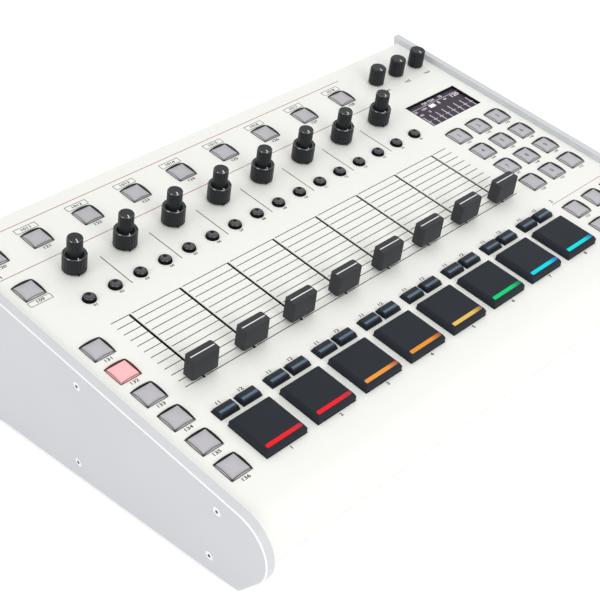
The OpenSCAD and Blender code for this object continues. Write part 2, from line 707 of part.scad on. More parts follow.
window_edge = 2;
window_t = 1.5;
bezel_t = 0.6;
bezel_low = 0.3;        // how far the bezel's lip lies under the panel's face
module display_window() {
    color([0.13, 0.11, 0.14]) on_panel(last_u + display_u, display_v) {
        block(display_w + 2 * window_edge, display_h + 2 * window_edge, under - window_t, under);
        difference() {
            block(display_w - 2 * slop, display_h - 2 * slop, under - eps, -bezel_low);
            block(display_w - 2 * bezel_t, display_h - 2 * bezel_t, under - 2 * eps, 0);
        }
    }
}
module display_module() {
    color([0.1, 0.3, 0.2]) on_panel(last_u + display_u, display_v) {
        block(display_w + 2 * window_edge, display_h + 2 * window_edge, under - window_t - 2.5, under - window_t);
        block(display_w, display_h, board_top, under - window_t - 2.5 + eps);
    }
}

top_panel();
left_side_plate();
right_side_plate();
base_pan();
rear_panel();
circuit_boards();
fader_bodies();
knob_pots();
pad_tray();
display_module();
display_window();
rubber_feet();
side_screws();
jack_sockets();
data_sockets();
power_inlet();
power_switch_housing();
power_rocker();
function_buttons();
mode_buttons();
keypad_buttons();
transport_buttons();
step_buttons();
mute_buttons();
solo_buttons();
for (k = [1:level_count]) level_knob(k);
for (i = [1:channels]) fader_cap(i);
for (i = [1:channels]) lower_knob(i);
for (i = [1:channels]) upper_knob(i);
for (i = [1:channels]) drum_pad(i);
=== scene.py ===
# %% [markdown]
# # A desktop drum machine
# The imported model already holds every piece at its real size, and its joints. This notebook dresses it:
# it copies or rebuilds the visible pieces with softer edges, and gives each of them its finish.
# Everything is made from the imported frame, so a piece lands where the construction says.

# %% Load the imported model
import json
import math
import bmesh
import bpy
from mathutils import Matrix, Vector


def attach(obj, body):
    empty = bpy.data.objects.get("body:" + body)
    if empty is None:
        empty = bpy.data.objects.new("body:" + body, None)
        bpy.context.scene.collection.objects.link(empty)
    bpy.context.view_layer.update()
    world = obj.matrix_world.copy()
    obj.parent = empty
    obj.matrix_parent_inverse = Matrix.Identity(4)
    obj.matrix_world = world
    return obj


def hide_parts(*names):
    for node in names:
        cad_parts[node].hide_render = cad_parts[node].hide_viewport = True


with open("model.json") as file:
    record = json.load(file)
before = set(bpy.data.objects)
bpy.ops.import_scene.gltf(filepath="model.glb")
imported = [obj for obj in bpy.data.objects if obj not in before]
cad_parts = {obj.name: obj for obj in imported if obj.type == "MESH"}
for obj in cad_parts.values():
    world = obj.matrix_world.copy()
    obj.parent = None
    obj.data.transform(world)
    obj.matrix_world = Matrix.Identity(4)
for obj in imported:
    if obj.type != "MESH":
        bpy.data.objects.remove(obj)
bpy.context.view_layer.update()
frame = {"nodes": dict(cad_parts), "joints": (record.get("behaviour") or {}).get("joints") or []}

# %% [markdown]
# ## The panel's own directions
# All controls stand square on a sloping panel, so it is far easier to build them lying flat, in
# millimetres, and to tilt them at the very end. The joints already know the slope: a fader slides up
# the panel, and a knob turns about the panel's normal. Three directions and one known point make a
# matrix that carries (right, up the slope, out of the panel) in millimetres into the frame in metres.

# %% Panel matrix
joints = {joint["name"]: joint for joint in frame["joints"]}
MM = 0.001
KNOB_ROW = 119.7  # the twin knobs' row, over the slots' lower ends
RIGHT = Vector((1, 0, 0))
UP_SLOPE = Vector(joints["fader_1_slide"]["axis"])
OUT = Vector(joints["lower_knob_1_turn"]["axis"])
SLOT_END = Vector(joints["lower_knob_1_turn"]["pos_m"]) - UP_SLOPE * KNOB_ROW * MM
TILT = Matrix((RIGHT, UP_SLOPE, OUT)).transposed().to_4x4()
PANEL = Matrix.Translation(SLOT_END) @ TILT @ Matrix.Scale(MM, 4)
PANEL_BACK = PANEL.inverted()
CHANNELS = 8
PITCH = (joints["lower_knob_2_turn"]["pos_m"][0] - joints["lower_knob_1_turn"]["pos_m"][0]) / MM
LAST = PITCH * (CHANNELS - 1)
print("slope:", round(math.degrees(math.asin(UP_SLOPE.z)), 2), "degrees; pitch:", round(PITCH, 3), "mm")


def on_panel(u, v, w=0.0):
    """A point of the panel, given in millimetres, in the frame."""
    return PANEL @ Vector((u, v, w))


# %% [markdown]
# ## Camera
# A long lens looks down on the machine from the player's left. A camera is easiest to think of as a
# place, a point to look at and a small roll, so those are the values kept here. `to_track_quat` turns
# the first two into a rotation, and the roll is a turn about the lens axis.

# %% Camera
EYE = on_panel(-400.7, -381.1, 542.3)
TARGET = on_panel(91.6, 14.0)
ROLL = -1.367
LENS = 80.96
camera_data = bpy.data.cameras.new("camera")
camera_data.lens = LENS
camera_data.sensor_width = 36
camera_data.clip_start = 0.05
camera_data.clip_end = 50
camera = bpy.data.objects.new("camera", camera_data)
bpy.context.collection.objects.link(camera)
camera.location = EYE
aim = (TARGET - EYE).to_track_quat("-Z", "Y").to_matrix().to_4x4()
camera.rotation_euler = (aim @ Matrix.Rotation(math.radians(ROLL), 4, "Z")).to_euler()
bpy.context.scene.camera = camera
bpy.context.scene.view_settings.view_transform = "Standard"
print("camera to target:", round((TARGET - EYE).length, 3), "m")

# %% [markdown]
# ## Floor, background and light
# Product pictures on white need two things at once: a background that is plain white, and a floor that
# still takes a soft shadow. The world is white where the camera, a reflection or a ray through glass sees
# it, and dimmer where it lights the object. The floor is a large pale plane.

# %% Rays that see the background


def math_node(tree, operation, first, second, clamp=False):
    """A Math node fed by sockets or plain numbers."""
    node = tree.nodes.new("ShaderNodeMath")
    node.operation = operation
    node.use_clamp = clamp
    for socket, value in zip(node.inputs, (first, second)):
        if isinstance(value, (int, float)):
            socket.default_value = value
        else:
            tree.links.new(value, socket)
    return node.outputs[0]


def seen_directly(tree):
    """A mask that is white for the camera's own rays, for reflections and for rays through glass."""
    rays = tree.nodes.new("ShaderNodeLightPath")
    mask = rays.outputs["Is Camera Ray"]
    for kind in ("Is Glossy Ray", "Is Transmission Ray"):
        mask = math_node(tree, "MAXIMUM", mask, rays.outputs[kind])
    return mask


# %% World
LIGHT_GLOW, SEEN_GLOW = 0.7, 1.0  # the world's strength as a light, and as a background
world = bpy.data.worlds.new("studio")
bpy.context.scene.world = world
world.use_nodes = True
sky = world.node_tree
sky.nodes.clear()
choose = sky.nodes.new("ShaderNodeMixShader")
sky.links.new(seen_directly(sky), choose.inputs[0])
for side, colour, strength in ((1, (1.0, 1.0, 0.99, 1), LIGHT_GLOW), (2, (1, 1, 1, 1), SEEN_GLOW)):
    glow = sky.nodes.new("ShaderNodeBackground")
    glow.inputs["Color"].default_value = colour
    glow.inputs["Strength"].default_value = strength
    sky.links.new(glow.outputs[0], choose.inputs[side])
sky.links.new(choose.outputs[0], sky.nodes.new("ShaderNodeOutputWorld").inputs[0])
print("world nodes:", len(sky.nodes))

# %% Lamps
LAMP_TARGET = Vector((0, 0, 0.05))
LAMPS = [("key", (0.9, 0.3, 1.8), 1.8, 5.4), ("side fill", (-4.31, -0.13, 2.57), 2.1, 46),
         ("front fill", (-0.17, -1.55, 0.73), 0.85, 7.8)]
for name, place, size, power in LAMPS:
    lamp_data = bpy.data.lights.new(name, "AREA")
    lamp_data.shape = "SQUARE"
    lamp_data.size = size
    lamp_data.energy = power
    lamp = bpy.data.objects.new(name, lamp_data)
    bpy.context.collection.objects.link(lamp)
    lamp.location = place
    lamp.rotation_euler = (LAMP_TARGET - Vector(place)).to_track_quat("-Z", "Y").to_euler()
    print(name, "at", round((LAMP_TARGET - Vector(place)).length, 2), "m, a square of", size, "m")

# %% Floor
FLOOR_REACH = 6
floor_mesh = bmesh.new()
bmesh.ops.create_grid(floor_mesh, x_segments=1, y_segments=1, size=FLOOR_REACH)
floor_data = bpy.data.meshes.new("floor")
floor_mesh.to_mesh(floor_data)
floor_mesh.free()
floor = bpy.data.objects.new("floor", floor_data)
bpy.context.collection.objects.link(floor)
print("floor:", 2 * FLOOR_REACH, "m wide")

# %% [markdown]
# ## Shared shader groups
# Most finishes on this machine are the same idea with other numbers: a fine grain that breaks up the
# highlight, a slow change of colour over a hand's width, and a little extra roughness where it is
# touched. One node group holds that idea, and each material places it with its own values. The group
# gives out only colour, roughness and height; the shader itself stays in the material.

# %% Node group helpers
NUMBER, COLOUR = "NodeSocketFloat", "NodeSocketColor"


def new_group(name, inputs, outputs):
    """An empty shader group with named sockets, and its input and output nodes."""
    group = bpy.data.node_groups.new(name, "ShaderNodeTree")
    for direction, sockets in (("INPUT", inputs), ("OUTPUT", outputs)):
        for label, kind in sockets:
            group.interface.new_socket(label, in_out=direction, socket_type=kind)
    return group, group.nodes.new("NodeGroupInput").outputs, group.nodes.new("NodeGroupOutput").inputs


def noise_node(tree, vector, scale, detail):
    """A noise texture on a vector, with a socket for its scale."""
    node = tree.nodes.new("ShaderNodeTexNoise")
    node.inputs["Detail"].default_value = detail
    tree.links.new(vector, node.inputs["Vector"])
    tree.links.new(scale, node.inputs["Scale"])
    return node.outputs["Fac"]


def mix_colour(tree, factor, first, second):
    """A colour mix by a factor socket, of two sockets or plain colours."""
    node = tree.nodes.new("ShaderNodeMix")
    node.data_type = "RGBA"
    tree.links.new(factor, node.inputs[0])
    for socket, value in ((node.inputs[6], first), (node.inputs[7], second)):
        if isinstance(value, (tuple, list)):
            socket.default_value = value
        else:
            tree.links.new(value, socket)
    return node.outputs[2]


# %% The grain group
grain, given, result = new_group(
    "moulded grain",
    [("Colour", COLOUR), ("Second Colour", COLOUR), ("Grain Scale", NUMBER), ("Patch Scale", NUMBER),
     ("Roughness", NUMBER), ("Spread", NUMBER)],
    [("Colour", COLOUR), ("Roughness", NUMBER), ("Height", NUMBER)])
place = grain.nodes.new("ShaderNodeTexCoord").outputs["Object"]
fine = noise_node(grain, place, given["Grain Scale"], detail=3)
patches = noise_node(grain, place, given["Patch Scale"], detail=4)
grain.links.new(mix_colour(grain, patches, given["Colour"], given["Second Colour"]), result["Colour"])
swing = math_node(grain, "MULTIPLY", math_node(grain, "SUBTRACT", patches, 0.5), given["Spread"])
grain.links.new(math_node(grain, "ADD", given["Roughness"], swing, clamp=True), result["Roughness"])
grain.links.new(fine, result["Height"])
print("grain group nodes:", len(grain.nodes))

# %% [markdown]
# ## Finishes
# A finish is one Principled shader with the grain group in front of it. Colours are written as a paint
# chart would give them, from 0 to 255, and turned into the linear values that the shader works in.
# What is the same all over a surface, such as metallic or coat, is set on the shader itself.

# %% Chart colours


def paint(red, green, blue):
    """A chart colour from 0 to 255 as a linear colour."""
    def linear(value):
        part = value / 255
        return part / 12.92 if part <= 0.04045 else ((part + 0.055) / 1.055) ** 2.4
    return (linear(red), linear(green), linear(blue), 1.0)


print("a mid grey:", [round(channel, 3) for channel in paint(128, 128, 128)[:3]])

# %% Finish maker
GRAIN_DEEP = 0.00005  # metres


def preset(node, **values):
    """Sets a node's inputs. Underscores in a name stand for spaces."""
    for name, value in values.items():
        node.inputs[name.replace("_", " ")].default_value = value


def new_material(name):
    """A new material, its node tree and its Principled shader."""
    material = bpy.data.materials.new(name)
    material.use_nodes = True
    return material, material.node_tree, material.node_tree.nodes["Principled BSDF"]


def finish(name, colour, second, roughness, spread=0.08, grain_scale=4000, patch_scale=25, bump=0.1,
           metallic=0.0, coat=0.0, gloss=0.5):
    """A material of grain between two chart colours, over one Principled shader."""
    material, tree, shader = new_material(name)
    preset(shader, Metallic=metallic, Coat_Weight=coat, Specular_IOR_Level=gloss)
    node = tree.nodes.new("ShaderNodeGroup")
    node.node_tree = grain
    preset(node, Colour=paint(*colour), Second_Colour=paint(*second), Grain_Scale=grain_scale,
           Patch_Scale=patch_scale, Roughness=roughness, Spread=spread)
    tree.links.new(node.outputs["Colour"], shader.inputs["Base Color"])
    tree.links.new(node.outputs["Roughness"], shader.inputs["Roughness"])
    relief = tree.nodes.new("ShaderNodeBump")
    preset(relief, Strength=bump, Distance=GRAIN_DEEP)
    tree.links.new(node.outputs["Height"], relief.inputs["Height"])
    tree.links.new(relief.outputs["Normal"], shader.inputs["Normal"])
    return material


# %% Glowing finishes
FADE_FROM, FADE_RATE = 0.68, 3.6  # where along a lit bar the second colour starts, and how fast


def vertex_mask(tree, name):
    """A mask that some vertices carry, from 0 to 1."""
    node = tree.nodes.new("ShaderNodeAttribute")
    node.attribute_name = name
    return node.outputs["Fac"]


def lit(name, colour, strength, far=None, own=0.35):
    """A glowing finish in a chart colour. It runs to another near the white end of a mask named along."""
    material, tree, shader = new_material(name)
    preset(shader, Roughness=0.5, Specular_IOR_Level=0.1, Emission_Strength=strength)
    past = math_node(tree, "SUBTRACT", vertex_mask(tree, "along"), FADE_FROM)
    faded = math_node(tree, "MULTIPLY", past, FADE_RATE, clamp=True)
    glowing = [paint(*colour), paint(*(far or colour))]
    unlit = [[channel * own for channel in shade[:3]] + [1.0] for shade in glowing]
    tree.links.new(mix_colour(tree, faded, *glowing), shader.inputs["Emission Color"])
    tree.links.new(mix_colour(tree, faded, *unlit), shader.inputs["Base Color"])
    return material


# %% The finishes of this machine
powder_white = finish("white powder coat", (245, 246, 241), (243, 244, 239), 0.48, bump=0.12)
satin_plate = finish("blasted silver plate", (208, 210, 213), (204, 206, 210), 0.42, spread=0.06,
                     grain_scale=6000, bump=0.15, metallic=0.15)
# The bare chamfer's near-white colour is also a painted highlight along the plates' outer edge.
milled_edge_highlight = finish("bare milled edge painted as a highlight", (254, 254, 255), (252, 252, 254), 0.25, spread=0.04,
                     grain_scale=6000, bump=0.05, coat=0.3)
zinc_grey = finish("zinc sheet", (150, 152, 154), (140, 142, 145), 0.45, metallic=0.8, patch_scale=60)
knob_black = finish("soft black plastic", (34, 37, 40), (27, 30, 33), 0.32, bump=0.3, gloss=0.22)
rim_black = finish("polished knob rim", (34, 37, 40), (27, 30, 33), 0.12, spread=0.02, bump=0.05, coat=1.0,
                   gloss=0.6)
fader_grey = finish("sparked grey plastic", (58, 60, 63), (51, 52, 56), 0.5, bump=0.5, grain_scale=1800,
                    gloss=0.16)
pad_rubber = finish("slate silicone", (41, 45, 52), (37, 41, 48), 0.58, bump=0.2, gloss=0.12)
bar_navy = finish("navy button plastic", (26, 34, 43), (22, 30, 38), 0.35, gloss=0.2)
bar_window = finish("bar window", (92, 112, 132), (84, 104, 126), 0.3, bump=0.05, gloss=0.2)
step_black = finish("black button rubber", (64, 64, 68), (54, 54, 58), 0.2, bump=0.2)
# Black for the step collars, which also paints the shade round the foot of each dome.
collar_black_shade = finish("black collar and painted shade", (10, 10, 11), (8, 8, 9), 0.5, gloss=0.06)
# Black plastic for sockets, fader bodies, tray and bezel; the same black paints shade in the screw recesses,
# the fader slots and on the step buttons.
black_plastic_and_shade = finish("black plastic and painted shade", (22, 22, 24), (18, 18, 20), 0.5, gloss=0.12)
steel_can = finish("plain steel", (150, 152, 155), (135, 137, 140), 0.35, metallic=0.9)
board_green = finish("green solder mask", (30, 92, 58), (24, 78, 50), 0.35)
foot_rubber = finish("foot rubber", (30, 30, 30), (36, 36, 36), 0.75, bump=0.4, grain_scale=2000, gloss=0.13)
screw_steel = finish("bright screw", (232, 234, 237), (222, 224, 228), 0.25, metallic=0.8)
ink_black = finish("dark ink", (38, 38, 40), (34, 34, 36), 0.5, bump=0.02, gloss=0.13)
ink_grey = finish("grey ink", (80, 80, 82), (74, 74, 76), 0.5, bump=0.02, gloss=0.13)
ink_red = finish("red ink", (176, 84, 88), (168, 78, 82), 0.5, bump=0.02, gloss=0.13)
mark_white = finish("white mark", (240, 242, 244), (234, 236, 238), 0.45, bump=0.02)
print("finishes:", len(bpy.data.materials))

# %% The floor's finish
FLOOR_GLOW = 0.45  # lifts the floor to white where it is seen, and lights nothing
floor_pale = finish("floor", (244, 244, 245), (243, 243, 244), 0.7, bump=0.0, patch_scale=2)
floor_tree = floor_pale.node_tree
floor_shader = floor_tree.nodes["Principled BSDF"]
floor_shader.inputs["Emission Color"].default_value = (1, 1, 1, 1)
floor_tree.links.new(math_node(floor_tree, "MULTIPLY", seen_directly(floor_tree), FLOOR_GLOW),
                     floor_shader.inputs["Emission Strength"])
floor_data.materials.append(floor_pale)
print("floor nodes:", len(floor_tree.nodes))

# %% [markdown]
# ## Making a piece
# Every new piece ends the same way: its bmesh is carried from the flat workbench to the sloping panel,
# its mesh is handed to an object at the origin, and the object rides on the body that it belongs to.
# Faces are smooth, and edges sharper than a set angle are kept crisp. Sizes are kept as short rows: a
# block is (wide, deep, low, high), and a peg is (low, high, its radius below, its radius above). Where
# it doesn't stand on the upright axis, its place follows.

# %% Piece helpers
CRISP_FROM = 38  # degrees; an edge sharper than this stays crisp
AS_PACKED = Matrix.Identity(4)  # for a mesh that is already in the frame


def piece(name, bm, material, body, replaced=(), carry=PANEL):
    """Hands a finished bmesh to a new object that rides on a body."""
    bm.transform(carry)
    bm.normal_update()
    mesh = bpy.data.meshes.new(name)
    bm.to_mesh(mesh)
    bm.free()
    mesh.materials.append(material)
    for polygon in mesh.polygons:
        polygon.use_smooth = True
    mesh.set_sharp_from_angle(angle=math.radians(CRISP_FROM))
    obj = bpy.data.objects.new(name, mesh)
    bpy.context.collection.objects.link(obj)
    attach(obj, body)
    if replaced:
        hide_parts(*replaced)
    return obj


# %% Blocks and pegs


def block(bm, wide, deep, low, high, u=0, v=0):
    """A box about an upright line, from a unit cube. Gives its vertices."""
    made = bmesh.ops.create_cube(bm, size=1.0)["verts"]
    bmesh.ops.scale(bm, vec=(wide, deep, high - low), verts=made)
    bmesh.ops.translate(bm, vec=(u, v, (low + high) / 2), verts=made)
    return made


def peg(bm, low, high, foot, top, u=0, v=0):
    """A round peg about an upright line."""
    made = bmesh.ops.create_cone(bm, cap_ends=True, segments=24, radius1=foot, radius2=top,
                                 depth=high - low)["verts"]
    bmesh.ops.translate(bm, vec=(u, v, (low + high) / 2), verts=made)


# %% Edges and bevels


def draw_in(bm, above, wide_share, deep_share):
    """Draws whatever lies above a height in towards the upright axis."""
    bmesh.ops.scale(bm, vec=(wide_share, deep_share, 1), verts=[v for v in bm.verts if v.co.z > above])


def edges_of(verts, test=lambda edge: True):
    """The edges between some vertices, or those that pass a test."""
    kept = {edge for vert in verts for edge in vert.link_edges}
    chosen = set(verts)
    return [e for e in kept if e.verts[0] in chosen and e.verts[1] in chosen and test(e)]


def soften(bm, edges, width, segments=2):
    """Bevels some edges."""
    return bmesh.ops.bevel(bm, geom=edges, offset=width, offset_type="OFFSET", affect="EDGES",
                           segments=segments, profile=0.5, material=-1, clamp_overlap=True)


def upright(edge):
    """True for an edge that runs out of the panel."""
    return abs(edge.verts[0].co.z - edge.verts[1].co.z) > 0.5 * edge.calc_length()


def soft_block(size, width, segments, test=lambda edge: True):
    """A block in a new bmesh, with its edges beveled, or those that pass a test."""
    bm = bmesh.new()
    soften(bm, edges_of(block(bm, *size), test), width, segments)
    return bm


print("faces of a softened cube:", len(soft_block((1, 1, 0, 1), 0.1, 2).faces))

# %% The same shape at many places


def repeated(bm, places):
    """A new bmesh with a copy of another at each place."""
    result = bmesh.new()
    mesh = bpy.data.meshes.new("pattern")
    bm.to_mesh(mesh)
    for u, v in places:
        before = len(result.verts)
        result.from_mesh(mesh)
        result.verts.ensure_lookup_table()
        bmesh.ops.translate(result, vec=(u, v, 0), verts=result.verts[before:])
    bm.free()
    bpy.data.meshes.remove(mesh)
    return result


# %% [markdown]
# ## Sheets and plates
# The folded panel and the side plates already have their exact outline and all their cut-outs, so there
# is no reason to model them again. What the construction lacks is the tiny radius that every real metal
# edge has, which is what catches the light. A copy of the node is merged into a proper mesh, its flat
# faces are joined, and a Bevel modifier rounds whatever edge is sharper than the limit.

# %% Softened copies of sheet parts
WELD = 0.000002  # metres; vertices nearer than this are one
FLAT_WITHIN = 0.5  # degrees between faces that are one flat face
ROUND_FROM = 40  # degrees; an edge sharper than this is rounded
PANEL_ROUND = 0.15


def merged_copy(node):
    """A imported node's mesh as a bmesh with joined vertices and whole flat faces."""
    bm = bmesh.new()
    bm.from_mesh(frame["nodes"][node].data)
    bmesh.ops.remove_doubles(bm, verts=bm.verts, dist=WELD)
    bmesh.ops.dissolve_limit(bm, angle_limit=math.radians(FLAT_WITHIN), verts=bm.verts,
                             edges=bm.edges)
    return bm


panel_sheet = piece("panel_sheet", merged_copy("top_panel"), powder_white, "case",
                    ("top_panel",), AS_PACKED)
rounding = panel_sheet.modifiers.new("rounded edges", "BEVEL")
rounding.width = PANEL_ROUND * MM
rounding.segments = 2
rounding.limit_method = "ANGLE"
rounding.angle_limit = math.radians(ROUND_FROM)
rounding.harden_normals = True
print("panel faces before rounding:", len(panel_sheet.data.polygons))

# %% Side plates with a bare chamfer painted as a highlight
PLATE_OUT = 220.65  # the plates' outer faces, from the machine's middle
CHAMFER = 0.6
WIDE_FACE = 300  # square millimetres; a wider face is shaded flat
SCREW_FIRST, SCREW_PITCH, SCREW_DEPTH = -72.9, 117.6, -7.6
LOWER_SCREW_Z, LOWER_SCREW_BACK = 14.5, 9  # height over the ground, and way behind the upper screw
SCREW_REACH = 4  # a screw's hole is all nearer to its axis than this
screw_places = []
for i in range(3):
    upper = on_panel(0, SCREW_FIRST + i * SCREW_PITCH, SCREW_DEPTH)
    screw_places += [(upper.y, upper.z), (upper.y + LOWER_SCREW_BACK * MM, LOWER_SCREW_Z * MM)]


def by_a_screw(vert):
    """True for a vertex of a screw's hole."""
    return any(math.hypot(vert.co.y - y, vert.co.z - z) < SCREW_REACH * MM for y, z in screw_places)


for node, name, side in (("left_side_plate", "left_plate", -1), ("right_side_plate", "right_plate", 1)):
    bm = merged_copy(node)
    face_x = side * PLATE_OUT * MM
    outline = [e for e in bm.edges if e.calc_face_angle(0) > 1
               and all(abs(v.co.x - face_x) < 0.01 * MM and not by_a_screw(v) for v in e.verts)]
    # The chamfer takes the near-white finish: a bare edge with a painted highlight.
    chamfer = soften(bm, outline, CHAMFER * MM, 1)["faces"]
    for face in chamfer:
        face.material_index = 1
    print(name, "outline edges:", len(outline), "chamfer faces:", len(chamfer))
    plate = piece(name, bm, satin_plate, "case", (node,), AS_PACKED)
    plate.data.materials.append(milled_edge_highlight)
    for polygon in plate.data.polygons:
        polygon.use_smooth = polygon.area < WIDE_FACE * MM * MM

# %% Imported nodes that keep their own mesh
OWN_FINISH = {
    "base_pan": zinc_grey, "rear_panel": powder_white, "circuit_boards": board_green,
    "fader_bodies": black_plastic_and_shade, "knob_pots": steel_can, "pad_tray": black_plastic_and_shade,
    "display_module": board_green, "rubber_feet": foot_rubber, "side_screws": screw_steel,
    "jack_sockets": black_plastic_and_shade, "data_sockets": black_plastic_and_shade, "power_inlet": black_plastic_and_shade,
    "power_switch_housing": black_plastic_and_shade, "power_rocker": step_black}
for node, material in OWN_FINISH.items():
    mesh = frame["nodes"][node].data
    mesh.materials.clear()
    mesh.materials.append(material)
print("nodes with a new finish:", len(OWN_FINISH))

# %% [markdown]
# ## Recesses and liners of painted shade
# Two small dark things paint the shade that gives a metal case its depth: the hexagon recess in each
# screw, and the black liner deep in each fader slot. A recess gets a thin black hexagon on its floor, a
# painted shade. A liner is a box without lid and floor, black as painted shade on the slot's cut faces,
# and the solidify operator gives its four walls their thickness.

# %% Screw recesses with painted shade
# A black hexagon on each recess floor: painted shade.
HEX_R, HEX_THICK, HEX_DEEP = 1.17 * MM, 0.1 * MM, 1.34
recess_shades = bmesh.new()
for side in (-1, 1):
    for y, z in screw_places:
        made = bmesh.ops.create_cone(recess_shades, cap_ends=True, segments=6, radius1=HEX_R, radius2=HEX_R,
                                     depth=HEX_THICK, matrix=Matrix.Rotation(math.pi / 2, 4, "Y"))["verts"]
        bmesh.ops.translate(recess_shades, vec=(side * (PLATE_OUT - HEX_DEEP) * MM, y, z), verts=made)
piece("screw_recess_shades", recess_shades, black_plastic_and_shade, "case", carry=AS_PACKED)
print("screw recesses:", 2 * len(screw_places))

# %% Slot liners of painted shade
# Black walls on the slots' cut faces: painted shade inside each slot.
SHADE_LINER, SHADE_LINER_WALL, SLOT_MIDDLE = (1.96, 67.66, -2.25, -0.65), 0.12, 33.85


def walls(bm, thick, *size):
    """Adds a block without lid and floor, whose walls are given a thickness."""
    faces = {face for vert in block(bm, *size) for face in vert.link_faces}
    bm.normal_update()
    flat = [f for f in faces if abs(f.normal.z) > 0.5]
    bmesh.ops.delete(bm, geom=flat, context="FACES_ONLY")
    bmesh.ops.solidify(bm, geom=[f for f in faces if f.is_valid], thickness=thick)


shade_liners = bmesh.new()
for i in range(CHANNELS):
    walls(shade_liners, SHADE_LINER_WALL, *SHADE_LINER, i * PITCH, SLOT_MIDDLE)
print("liner reach:", [round(max(v.co[k] for v in shade_liners.verts), 3) for k in range(3)])
piece("slot_shade_liners", shade_liners, black_plastic_and_shade, "case")

# %% [markdown]
# ## Fader caps
# A fader cap is a tall block with cut corners, and a white line across its top that shows the setting.
# A cube is enough to start from: the top is drawn in a little, the upright corners are cut, and the
# edges round the top get a small radius. The thin metal lever under the cap is part of the same piece.

# %% Fader caps
CAP_LOW, CAP_HIGH, CAP_CORNER, CAP_RIM = 2.9, 17.7, 1.0, 0.3
CAP = (20.6, 9.0, CAP_LOW, CAP_HIGH)
CAP_SHARE = (20.4 / 20.6, 8.6 / 9.0)  # what is left of its width and depth at the top
CAP_REST = 4.2  # where its middle is, up its slot
LEVER = (1.2, 4.0, -9.0, CAP_LOW + 0.3)
LINE, LINE_RIM = (18.5, 0.84, CAP_HIGH - 0.3, CAP_HIGH + 0.02), 0.08


def fader_cap_shape():
    """One fader cap with its lever, about the middle of its slot's line."""
    bm = bmesh.new()
    verts = block(bm, *CAP)
    draw_in(bm, CAP_HIGH - 0.1, *CAP_SHARE)
    soften(bm, edges_of(verts, upright), CAP_CORNER, 1)
    rim = [e for e in bm.edges if e.is_manifold and e.calc_face_angle() > math.radians(60)
           and min(v.co.z for v in e.verts) > CAP_HIGH - 0.1]
    soften(bm, rim, CAP_RIM, 3)
    block(bm, *LEVER)
    return bm


for i in range(CHANNELS):
    body, centre = f"fader_cap_{i + 1}", [(i * PITCH, CAP_REST)]
    piece(f"{body}_moulding", repeated(fader_cap_shape(), centre), fader_grey, body, (body,))
    piece(f"{body}_line", repeated(soft_block(LINE, LINE_RIM, 1), centre), mark_white, body)
print("fader caps:", CHANNELS)

# %% [markdown]
# ## Twin knobs
# Both knobs of a pair are turned parts with ribs for the fingers. The outline is drawn once as a few
# points from the centre out and spun round the axis; then every vertex on the grip is pulled in a little
# by a wave of its angle, which makes the grooves between the ribs. The lower knob is a cup, so that the
# upper one can sit in it, and has a nub at its foot. The slanting rims of the tops are polished, so they
# catch the lamps as a bright line. White marks are thin separate pieces, as inlaid paint.

# %% Turned and ribbed shapes
STEPS_A_RIB = 8  # steps of the spin from one groove to the next


def turned(profile, steps):
    """A closed outline of (radius, height) points, spun once about the knob's axis."""
    bm = bmesh.new()
    verts = [bm.verts.new((radius, 0, height)) for radius, height in profile]
    edges = [bm.edges.new(pair) for pair in zip(verts, verts[1:])]
    bmesh.ops.spin(bm, geom=verts + edges, cent=(0, 0, 0), axis=(0, 0, 1), angle=math.tau, steps=steps,
                   use_merge=True, use_duplicate=False)
    bmesh.ops.remove_doubles(bm, verts=bm.verts, dist=0.0005)
    bmesh.ops.recalc_face_normals(bm, faces=bm.faces)
    return bm


def ribbed(profile, radius, low, high, ribs, depth):
    """A turned shape whose grip is pulled in by grooves round its axis."""
    bm = turned(profile, STEPS_A_RIB * ribs)
    for vert in bm.verts:
        reach = math.hypot(vert.co.x, vert.co.y)
        if reach > radius - 0.3 and low < vert.co.z < high:
            groove = max(0.0, math.cos(ribs * math.atan2(vert.co.y, vert.co.x)))
            pull = 1 - depth * groove / reach
            vert.co.x *= pull
            vert.co.y *= pull
    return bm


# %% Outlines of the knobs
LIFT, SHAFT_R, BORE_R, SHAFT_LOW = 0.8, 3.0, 1.55, -6.3
LOWER_R, LOWER_TOP, CUP_R, CUP_FLOOR = 7.9, 13.0, 5.6, 10.5
UPPER_R, UPPER_TOP, UPPER_FOOT, INNER_R, INNER_LOW = 5.1, 24.97, 10.8, 1.5, -9.3
LEVEL_R, LEVEL_TOP = 6.0, 13.97
LOWER = [(BORE_R, SHAFT_LOW), (SHAFT_R, SHAFT_LOW), (SHAFT_R, LIFT), (LOWER_R - 0.3, LIFT),
         *[(LOWER_R, height) for height in (LIFT + 0.3, LIFT + 1.4, 2.6, 7.0, 11.2, 12.3)],
         (LOWER_R - 0.12, 12.5), (LOWER_R - 0.54, LOWER_TOP), (CUP_R + 0.5, LOWER_TOP), (CUP_R + 0.1, 12.8),
         (CUP_R, 12.5), (CUP_R, CUP_FLOOR), (BORE_R, CUP_FLOOR), (BORE_R, SHAFT_LOW)]
UPPER = [(0, INNER_LOW), (INNER_R, INNER_LOW), (INNER_R, UPPER_FOOT), (UPPER_R - 0.2, UPPER_FOOT),
         *[(UPPER_R, height) for height in (UPPER_FOOT + 0.2, 12.6, 18.0, 23.8, 24.4)],
         (UPPER_R - 0.08, 24.52), (UPPER_R - 0.46, UPPER_TOP), (0, UPPER_TOP)]
LEVEL = [(0, SHAFT_LOW), (SHAFT_R, SHAFT_LOW), (SHAFT_R, LIFT), (LEVEL_R - 0.2, LIFT),
         *[(LEVEL_R, height) for height in (LIFT + 0.3, 2.4, 8.0, 12.8)],
         (LEVEL_R - 0.1, 13.3), (LEVEL_R - 0.7, LEVEL_TOP), (0, LEVEL_TOP)]
